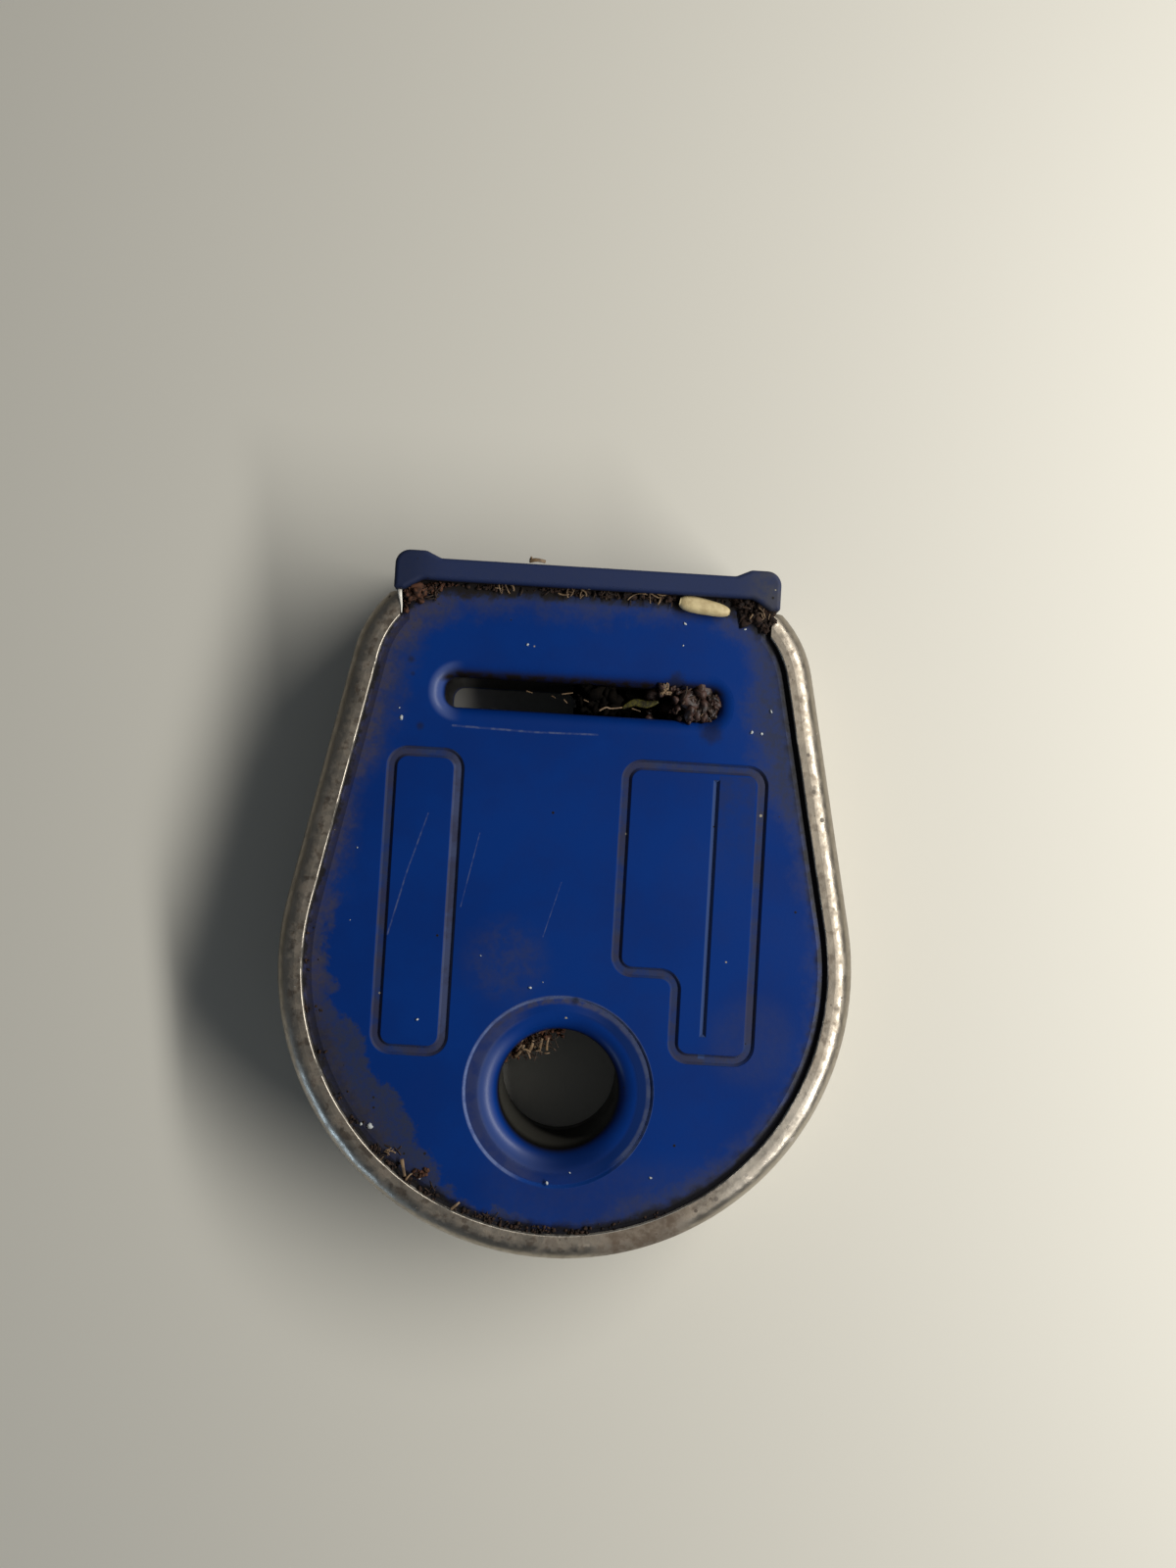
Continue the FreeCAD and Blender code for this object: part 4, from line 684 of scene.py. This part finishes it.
SEALED = [
    ("enamelled_copper", (0.42, 0.13, 0.04), (0.30, 0.08, 0.03), 1.0, 0.30, 0.9, 3.0,
     ["antenna_coil", "coil_lead_start", "coil_lead_finish"]),
    ("winding_tape", (0.62, 0.47, 0.12), (0.55, 0.40, 0.10), 2.0, 0.45, 0.0, 2.0,
     ["coil_tie_left", "coil_tie_right", "coil_tie_flange", "coil_tie_round"]),
    ("green_laminate", (0.02, 0.16, 0.06), (0.015, 0.12, 0.05), 3.0, 0.35, 0.0, 3.0, ["circuit_board"]),
    ("black_case", (0.018, 0.018, 0.019), (0.03, 0.03, 0.03), 1.5, 0.50, 0.0, 4.0,
     ["transponder_chip", "rectifier_diode_1", "rectifier_diode_2", "rectifier_diode_3",
      "rectifier_diode_4", "resistor_1", "resistor_2"]),
    ("drawn_can", (0.62, 0.62, 0.63), (0.52, 0.52, 0.54), 2.0, 0.28, 1.0, 1.0, ["storage_capacitor"]),
    ("dipped_film", (0.42, 0.09, 0.03), (0.34, 0.07, 0.025), 2.0, 0.25, 0.0, 1.0,
     ["tuning_capacitor", "trimming_capacitor"]),
    ("solder", (0.55, 0.55, 0.56), (0.45, 0.45, 0.46), 0.8, 0.30, 1.0, 2.0,
     ["solder_joint_start", "solder_joint_finish"]),
    ("cast_resin", (0.03, 0.026, 0.022), (0.045, 0.038, 0.03), 6.0, 0.35, 0.0, 0.8, ["potting_compound"]),
]
for name, first, second, size, roughness, metallic, grain, nodes in SEALED:
    material = simple_finish(name, first, second, size, roughness, metallic, grain)
    for node in nodes:
        finish_node(node, material)
print("finished", sum(len(row[-1]) for row in SEALED) + 3, "solids")

# %% [markdown]
# ## Dirt, straw and grain: the surfaces
# Packed dirt is a heap of uneven crumbs. One crumb is a ball whose radius is changed by a few
# random waves, and a heap is many of them in one mesh. A straw is a flat tube carried along
# a bent line. Both are worked out as arrays of points, whole pieces at a time.

# %% Surface helpers
def make_piece(name, points, faces, material, smooth=True):
    """A mesh from points in millimetres, which rides with the object."""
    mesh = bpy.data.meshes.new(name)
    mesh.from_pydata((np.asarray(points) * MM).tolist(), [], [list(face) for face in faces])
    mesh.polygons.foreach_set("use_smooth", np.full(len(mesh.polygons), smooth))
    mesh.materials.append(material)
    mesh.update()
    piece = bpy.data.objects.new(name, mesh)
    bpy.context.collection.objects.link(piece)
    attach(piece, "root")
    print("%-18s %6d points" % (name, len(points)))
    return piece


def ball_grid(rows, columns):
    """Directions on a ball, ring by ring with a pole at each end, and its faces."""
    theta, phi = np.meshgrid(np.linspace(0, math.pi, rows + 2)[1:-1],
                             np.linspace(0, 2 * math.pi, columns, endpoint=False), indexing="ij")
    ring = np.stack([np.sin(theta) * np.cos(phi), np.sin(theta) * np.sin(phi), np.cos(theta)], -1)
    directions = np.vstack([ring.reshape(-1, 3), [[0, 0, 1], [0, 0, -1]]])
    here = np.arange(rows * columns).reshape(rows, columns)
    beside = np.roll(here, -1, axis=1)
    quads = np.stack([here[:-1], here[1:], beside[1:], beside[:-1]], -1).reshape(-1, 4).tolist()
    top = [[int(b), rows * columns, int(a)] for a, b in zip(beside[0], here[0])]
    bottom = [[int(a), rows * columns + 1, int(b)] for a, b in zip(beside[-1], here[-1])]
    return directions, quads + [face[::-1] for face in top] + [face[::-1] for face in bottom]


CRUMB_DIRECTIONS, CRUMB_FACES = ball_grid(5, 9)


def crumb(centre, size, random, rough=0.30):
    """A crumb: each direction of the ball times one plus a sum of random waves, stretched
    by its three sizes, turned at random and moved to its centre."""
    waves = random.normal(size=(7, 3)) * 2.4
    phase = random.uniform(0, 2 * math.pi, 7)
    radius = 1 + rough * np.sin(CRUMB_DIRECTIONS @ waves.T + phase).sum(1) / 2.6
    points = CRUMB_DIRECTIONS * radius[:, None] * np.asarray(size)
    angle = random.uniform(0, 2 * math.pi)
    turn = np.array([[math.cos(angle), -math.sin(angle), 0], [math.sin(angle), math.cos(angle), 0], [0, 0, 1]])
    return points @ turn.T + centre


def heap(name, spots, material, seed, rough=0.30):
    """Many crumbs in one mesh. A spot is its centre, spread, crumb size and count."""
    random = np.random.default_rng(seed)
    points, faces = [], []
    for centre, spread, size, count in spots:
        places = np.clip(random.normal(size=(count, 3)) * 0.5, -0.9, 0.9) * np.asarray(spread) + centre
        sizes = size * np.clip(random.lognormal(0.0, 0.35, size=count), 0.5, 1.7)
        for place, length in zip(places, sizes):
            start = len(points) * len(CRUMB_DIRECTIONS)
            shape = length * random.uniform(0.6, 1.15, 3)
            points.append(crumb(place, shape, random, rough))
            faces += [[index + start for index in face] for face in CRUMB_FACES]
    return make_piece(name, np.vstack(points), faces, material)


def smooth_path(points, count):
    """A smooth line through a few points: cubic curves whose slopes come from the neighbours."""
    points = np.asarray(points, float)
    slopes = np.gradient(points, axis=0)
    where = np.linspace(0, len(points) - 1, count)
    start = np.minimum(where.astype(int), len(points) - 2)
    t = (where - start)[:, None]
    return ((2 * t**3 - 3 * t**2 + 1) * points[start] + (t**3 - 2 * t**2 + t) * slopes[start]
            + (3 * t**2 - 2 * t**3) * points[start + 1] + (t**3 - t**2) * slopes[start + 1])


def tube(line, width, height, columns=8):
    """A tube along a line: at each point an ellipse square to the line, closed by a flat
    cap at both ends. The widths may change along the line."""
    ahead = np.gradient(line, axis=0)
    ahead /= np.linalg.norm(ahead, axis=1)[:, None]
    side = np.cross(ahead, [0, 0, 1.0])
    side /= np.maximum(np.linalg.norm(side, axis=1), 1e-6)[:, None]
    above = np.cross(side, ahead)
    angle = np.linspace(0, 2 * math.pi, columns, endpoint=False)
    wide = (np.broadcast_to(width, len(line)) / 2)[:, None, None]
    tall = (np.broadcast_to(height, len(line)) / 2)[:, None, None]
    ring = (line[:, None] + wide * np.cos(angle)[None, :, None] * side[:, None]
            + tall * np.sin(angle)[None, :, None] * above[:, None])
    here = np.arange(len(line) * columns).reshape(len(line), columns)
    beside = np.roll(here, -1, axis=1)
    quads = np.stack([here[:-1], beside[:-1], beside[1:], here[1:]], -1).reshape(-1, 4).tolist()
    caps = [here[0][::-1].tolist(), here[-1].tolist()]
    return ring.reshape(-1, 3), quads + caps


# %% [markdown]
# ## Dirt, straw and grain: the finishes
# Dry manure and soil are nearly black in the gaps and red-brown on top. The heap deep in
# the slot is dirt made nearly black as painted shade. Straw is pale gold
# with darker streaks, and the grain is lighter with fine lines along it.

# %% Finishes of the caught pieces
dirt = simple_finish("packed_dirt", (0.010, 0.007, 0.006), (0.044, 0.025, 0.017), 0.9, 0.80, 0.0, 5.0, 0.2)
slot_dirt = simple_finish("slot_dirt", (0.009, 0.0055, 0.0045), (0.062, 0.031, 0.022), 1.2, 0.42, 0.0, 4.0, 0.35)
deep_dirt_and_shade = simple_finish("deep_dirt_and_shade", (0.0016, 0.0013, 0.0010), (0.0045, 0.0034, 0.0025), 0.9, 0.85, 0.0, 5.0, 0.04)
red_dirt = simple_finish("red_brown_dirt", (0.018, 0.009, 0.006), (0.105, 0.046, 0.026), 0.9, 0.80, 0.0, 5.0, 0.2)
fibre_finish = simple_finish("dark_fibre", (0.046, 0.025, 0.014), (0.014, 0.009, 0.006), 0.9, 0.60, 0.0, 6.0, 0.3)
straw_finish = simple_finish("dry_straw", (0.22, 0.14, 0.07), (0.10, 0.062, 0.032), 1.2, 0.55, 0.0, 6.0)
grain_finish = simple_finish("grain_husk", (0.58, 0.47, 0.25), (0.44, 0.34, 0.17), 1.0, 0.50, 0.0, 4.0)

# %% [markdown]
# Dried manure is full of chopped fibres. A fibre is a short tube along a shallow arc, thrown
# at random but nearly level, and a tangle is many fibres in one mesh.

# %% Tangles of fibres
def tangle(name, spots, material, seed):
    """Many short fibres in one mesh. A spot is its centre, spread, fibre length, width and
    count. A fibre's line is the centre plus its direction times the distance from the middle,
    plus a sag that grows with the square of that distance."""
    random = np.random.default_rng(seed)
    t = np.linspace(-0.5, 0.5, 6)[:, None]
    points, faces, offset = [], [], 0
    for centre, spread, length, width, count in spots:
        for _ in range(count):
            place = np.clip(random.normal(size=3) * 0.5, -0.8, 0.8) * np.asarray(spread) + centre
            heading = random.uniform(0, 2 * math.pi)
            ahead = np.array([math.cos(heading), math.sin(heading), random.normal() * 0.25])
            bow = np.cross(ahead, [0, 0, 1.0]) * random.normal() * 0.6 + np.array([0, 0, random.normal() * 0.4])
            own = length * random.uniform(0.5, 1.3)
            line = place + ahead * own * t + bow * own * t**2
            ring, quads = tube(line, width * random.uniform(0.6, 1.3), width * 0.6, 5)
            points.append(ring)
            faces += [[index + offset for index in face] for face in quads]
            offset += len(ring)
    return make_piece(name, np.vstack(points), faces, material)


# %% [markdown]
# ## What the corners hold
# The corner between the flange and the face holds most of the dirt: a heap at each end and
# crumbs between. More is in the slot, on the wall of the hole and under the lip at
# the lower left. Every heap sits on the surface that carries it.

# %% Heaps of dirt
dirt_left = heap("dirt_left_corner", [
    ((-27.4, 48.4, FACE + 0.2), (1.4, 1.1, 0.6), 0.46, 46),
    ((-25.2, 49.3, FACE + 0.1), (2.2, 0.7, 0.4), 0.36, 40),
    ((-28.4, 46.6, FACE), (0.4, 1.0, 0.3), 0.26, 16),
    ((-22.4, 50.0, FACE + 0.1), (2.6, 0.4, 0.3), 0.24, 30)], red_dirt, 3, 0.5)
dirt_right = heap("dirt_right_corner", [
    ((27.0, 48.6, FACE + 0.2), (2.4, 1.6, 0.7), 0.66, 60),
    ((24.4, 49.8, FACE + 0.3), (2.0, 0.6, 0.5), 0.46, 26),
    ((28.6, 47.0, FACE + 0.1), (0.8, 1.2, 0.5), 0.50, 20)], dirt, 5, 0.55)
dirt_seam = heap("dirt_seam", [
    ((-14.6, 50.0, FACE + 0.15), (3.0, 0.5, 0.4), 0.26, 50),
    ((-2.4, 50.0, FACE + 0.15), (4.0, 0.6, 0.4), 0.26, 60),
    ((7.5, 50.0, FACE + 0.2), (6.0, 0.5, 0.5), 0.28, 80),
    ((0.0, 50.2, FACE), (30.0, 0.4, 0.3), 0.26, 90),
    ((15.0, 50.1, FACE + 0.1), (5.0, 0.5, 0.4), 0.26, 44)], dirt, 7)
dirt_slot = heap("dirt_slot", [
    ((18.0, 33.6, 19.3), (3.7, 2.4, 1.2), 0.74, 96),
    ((14.2, 35.6, 19.8), (1.8, 0.8, 0.9), 0.50, 34),
    ((20.6, 33.6, 19.8), (1.3, 2.3, 0.8), 0.60, 40),
    ((15.5, 33.2, 14.0), (5.0, 2.6, 2.6), 0.80, 70)], slot_dirt, 11, 0.62)
# Partly dirt, partly painted shade: a nearly black heap deep in the slot, where the slot is in shade. It also shades
# the floor under the slot.
slot_dirt_and_shade = heap("dirt_and_shade_in_slot", [
    ((4.5, 33.4, 12.6), (5.0, 2.4, 3.0), 0.9, 150),
    ((2.4, 33.5, 18.4), (3.2, 2.3, 0.8), 0.6, 76),
    ((10.0, 33.4, 11.0), (6.0, 2.4, 3.0), 0.9, 110)], deep_dirt_and_shade, 12, 0.6)

# %% [markdown]
# The dirt on the wall of the hole follows the wall, so its places are worked out from an
# angle round the hole. Under the lip it follows the outline in the same way.

# %% Dirt on curved walls
def on_hole_wall(degrees, depth, level):
    """A place on the wall of the hole, by its angle from +X and how far it stands out."""
    angle = math.radians(degrees)
    radius = HOLE_RADIUS - depth
    return (HOLE_CENTRE[0] + radius * math.cos(angle), HOLE_CENTRE[1] + radius * math.sin(angle), level)


def beside_lip(degrees, inset, level):
    """A place on the face by the lip of the round end, by its angle and distance from the edge."""
    angle = math.radians(degrees)
    radius = END_RADIUS - inset
    return (radius * math.cos(angle), END_CENTRE + radius * math.sin(angle), level)


dirt_hole = heap("dirt_hole", [
    (on_hole_wall(angle, 0.5, 16.0), (1.3, 1.0, 1.8), 0.40, count)
    for angle, count in ((96, 20), (106, 30), (118, 34), (130, 34), (142, 24), (150, 10))], red_dirt, 13)
dirt_spot = heap("red_dirt_by_lip", [
    ((-20.7, -42.2, FACE), (1.2, 1.0, 0.2), 0.26, 26)], red_dirt, 15)
dirt_lip = heap("dirt_lip", [
    (beside_lip(angle, 4.7, FACE - 0.25), (2.4, 0.9, 0.25), 0.22, count)
    for angle, count in ((-186, 10), (-178, 12), (-168, 14), (-158, 14), (-148, 20), (-141, 22), (-133, 30),
                         (-129, 30), (-124, 24), (-118, 26), (-110, 24), (-104, 30), (-98, 34), (-92, 30),
                         (-84, 20), (-76, 12), (-66, 8))], dirt, 17)

# %% Pale bits stuck to the face
pale_bits = heap("pale_bits", [
    ((x, y, FACE + size * 0.2), (0.01, 0.01, 0.01), size, 1) for x, y, size in (
        (15.3, -41.1, 0.30), (-5.3, -12.6, 0.26), (-0.9, -42.8, 0.18), (30.1, 33.1, 0.34),
        (27.2, 29.6, 0.20), (28.8, 29.5, 0.16), (15.6, 42.7, 0.14), (15.7, 46.2, 0.14), (-22.7, -18.5, 0.30), (-29.0, -35.5, 0.32), (-30.5, -35.3, 0.16), (-20.8, -43.2, 0.18),
        (25.3, 45.9, 0.14), (-9.0, 41.4, 0.12), (-13.4, -8.0, 0.14), (-28.6, 30.2, 0.20), (-28.2, 28.6, 0.24),
        (-33.8, 7.8, 0.16), (-34.2, -3.6, 0.14), (-3.4, -11.6, 0.12), (2.6, -41.0, 0.12))],
    simple_finish("pale_bit", (0.50, 0.52, 0.50), (0.36, 0.38, 0.38), 0.6, 0.6, 0.0, 4.0), 19)

# %% Fibres in the heaps
dark_fibres = tangle("dark_fibres", [
    ((-26.4, 48.6, FACE + 0.5), (3.0, 1.2, 0.4), 1.8, 0.26, 34),
    ((27.0, 48.6, FACE + 1.0), (2.4, 1.6, 0.7), 1.6, 0.34, 12),
    ((18.2, 33.8, 20.5), (3.6, 2.2, 0.6), 1.9, 0.42, 34),
    ((4.0, 50.0, FACE + 0.5), (18.0, 0.6, 0.4), 1.6, 0.22, 36),
    (on_hole_wall(122, 1.2, 17.4), (4.4, 2.6, 1.8), 2.0, 0.24, 46),
    (beside_lip(-132, 5.6, FACE + 0.1), (3.0, 1.6, 0.1), 1.3, 0.18, 6),
    (beside_lip(-118, 5.4, FACE + 0.1), (2.4, 1.4, 0.1), 1.3, 0.18, 5),
    (beside_lip(-104, 5.2, FACE + 0.1), (3.0, 1.0, 0.1), 1.1, 0.16, 6)], fibre_finish, 23)
pale_fibres = tangle("pale_fibres", [
    ((-13.2, 50.0, FACE + 0.7), (1.6, 0.6, 0.4), 1.6, 0.24, 5),
    ((-1.6, 50.0, FACE + 0.7), (2.8, 0.6, 0.4), 1.8, 0.26, 9),
    ((8.8, 50.3, FACE + 0.9), (3.4, 0.4, 0.3), 2.6, 0.24, 6),
    ((13.6, 35.9, 20.8), (1.2, 0.8, 0.4), 1.2, 0.30, 9), ((17.6, 33.2, 20.7), (3.0, 1.6, 0.3), 0.9, 0.24, 6),
    ((27.4, 48.2, FACE + 1.4), (1.8, 1.2, 0.4), 1.4, 0.26, 7),
    (on_hole_wall(124, 1.6, 18.0), (3.6, 1.8, 0.8), 1.5, 0.28, 9),
    (beside_lip(-130, 5.6, FACE + 0.3), (2.6, 1.4, 0.3), 1.3, 0.20, 6)], straw_finish, 29)

# %% [markdown]
# ## Straw and grain
# Bits of straw stick out of the slot, the hole and the lip, and one lies behind the flange.
# The grain lies in the corner under the flange: a long drop shape with a groove along
# its upper side.

# %% Straw
STRAWS = [
    ([(-7.2, -24.2, 17.6), (-6.4, -23.2, 18.2), (-5.8, -22.0, 18.4)], 0.55),
    ([(-5.2, -23.4, 17.8), (-4.6, -22.2, 18.4), (-4.4, -21.2, 18.4)], 0.60),
    ([(-3.4, -23.0, 17.6), (-3.2, -21.8, 18.3), (-3.0, -20.8, 18.6)], 0.55),
    ([(-2.2, -22.8, 17.8), (-2.2, -21.8, 18.4), (-2.0, -20.6, 18.6)], 0.45),
    ([(2.9, 31.7, 20.2), (4.0, 32.3, 20.2), (4.8, 32.2, 19.8), (6.6, 32.5, 19.4)], 0.30),
    ([(-4.8, 33.9, 17.0), (-4.2, 33.6, 17.3)], 0.22), ([(-2.8, 33.2, 19.9), (-2.2, 32.6, 20.0)], 0.22),
    ([(0.4, 33.3, 20.2), (1.2, 33.0, 20.3)], 0.20), ([(-3.2, 34.0, 19.9), (-1.4, 34.3, 20.1)], 0.22),
    ([(-8.9, 34.4, 17.6), (-7.9, 34.1, 17.8)], 0.24), ([(8.2, 32.6, 17.6), (9.6, 32.2, 17.8)], 0.22),
    ([(12.6, 35.8, 20.6), (13.2, 35.2, 20.9), (14.2, 35.0, 20.4)], 0.60),
    ([(-23.7, -40.2, 22.0), (-23.4, -41.4, 22.2), (-23.05, -42.8, 22.2)], 0.62),
    ([(-22.9, -43.4, 22.1), (-22.3, -42.6, 22.0), (-21.9, -42.4, 21.8)], 0.30),
    ([(-15.6, -47.5, 22.2), (-14.9, -46.9, 22.2), (-14.3, -46.4, 21.9)], 0.50),
    ([(-9.4, 54.4, 23.2), (-8.2, 54.5, 23.6), (-6.9, 54.4, 23.2)], 0.70),
    ([(-9.3, 54.3, 22.6), (-9.2, 54.6, 23.4), (-9.1, 54.9, 23.9)], 0.45),
]
straw_points, straw_faces, offset = [], [], 0
for bends, breadth in STRAWS:
    line = smooth_path(bends, 14)
    points, faces = tube(line, breadth * np.linspace(1.0, 0.7, 14), 0.16)
    straw_points.append(points)
    straw_faces += [[index + offset for index in face] for face in faces]
    offset += len(points)
straws = make_piece("straw_bits", np.vstack(straw_points), straw_faces, straw_finish)

# Painted highlight: a thin pale piece along the left cut end of the strip by the flange, where the end faces the lamp.
cut_end_line = smooth_path([(-29.15, 45.2, 21.9), (-29.25, 46.6, 22.05), (-29.5, 48.0, 22.15), (-29.75, 49.6, 22.1)], 12)
cut_end_points, cut_end_faces = tube(cut_end_line, np.linspace(0.16, 0.80, 12), 0.30)
cut_end_highlight = make_piece("cut_end_painted_highlight", cut_end_points, cut_end_faces,
                  simple_finish("painted_highlight_finish", (0.88, 0.84, 0.74), (0.70, 0.65, 0.55), 0.8, 0.35, 0.0, 3.0))

green_line = smooth_path([(6.6, 32.6, 16.6), (8.6, 33.6, 17.2), (10.6, 33.4, 17.6), (12.4, 33.9, 18.0)], 18)
green_points, green_faces = tube(green_line, 1.3 * np.sin(np.linspace(0.3, 2.8, 18)), 0.3, 10)
leaf = make_piece("leaf_bit", green_points, green_faces,
                  simple_finish("dry_leaf", (0.105, 0.092, 0.014), (0.026, 0.022, 0.006), 0.6, 0.5, 0.0, 4.0))

# %% Grain
def grain_surface(length, width, height, rows=33, columns=28):
    """A cereal grain: ellipses along its length whose size follows the square root of a
    rounded drop, with a narrow groove pressed into the upper side."""
    t, phi = np.meshgrid(np.linspace(0.012, 0.988, rows), np.linspace(0, 2 * math.pi, columns, endpoint=False),
                         indexing="ij")
    swell = np.sin(math.pi * t ** 0.84) ** 0.36 * (1 + 0.06 * np.sin(7 * t + 1)) * (1.04 - 0.10 * t)
    groove = 1 - 0.16 * np.exp(-((phi - math.pi / 2) / 0.22) ** 2) * np.sin(math.pi * t)
    lines = 1 + 0.012 * np.sin(9 * phi)
    x = (t - 0.5) * length
    y = width / 2 * swell * np.cos(phi) * groove * lines
    z = height / 2 * swell * np.sin(phi) * groove * lines
    here = np.arange(rows * columns).reshape(rows, columns)
    beside = np.roll(here, -1, axis=1)
    quads = np.stack([here[:-1], here[1:], beside[1:], beside[:-1]], -1).reshape(-1, 4)[:, ::-1].tolist()
    faces = quads + [here[0].tolist(), here[-1][::-1].tolist()]
    return np.stack([x, y, z], -1).reshape(-1, 3), [face[::-1] for face in faces]


grain_points, grain_faces = grain_surface(8.3, 2.7, 2.0)
angle = math.radians(-9.0)
lean = np.array([[math.cos(angle), -math.sin(angle), 0], [math.sin(angle), math.cos(angle), 0], [0, 0, 1]])
grain_points = grain_points @ lean.T + np.array([18.6, 48.9, FACE + 1.0])
grain = make_piece("cereal_grain", grain_points, grain_faces, grain_finish)
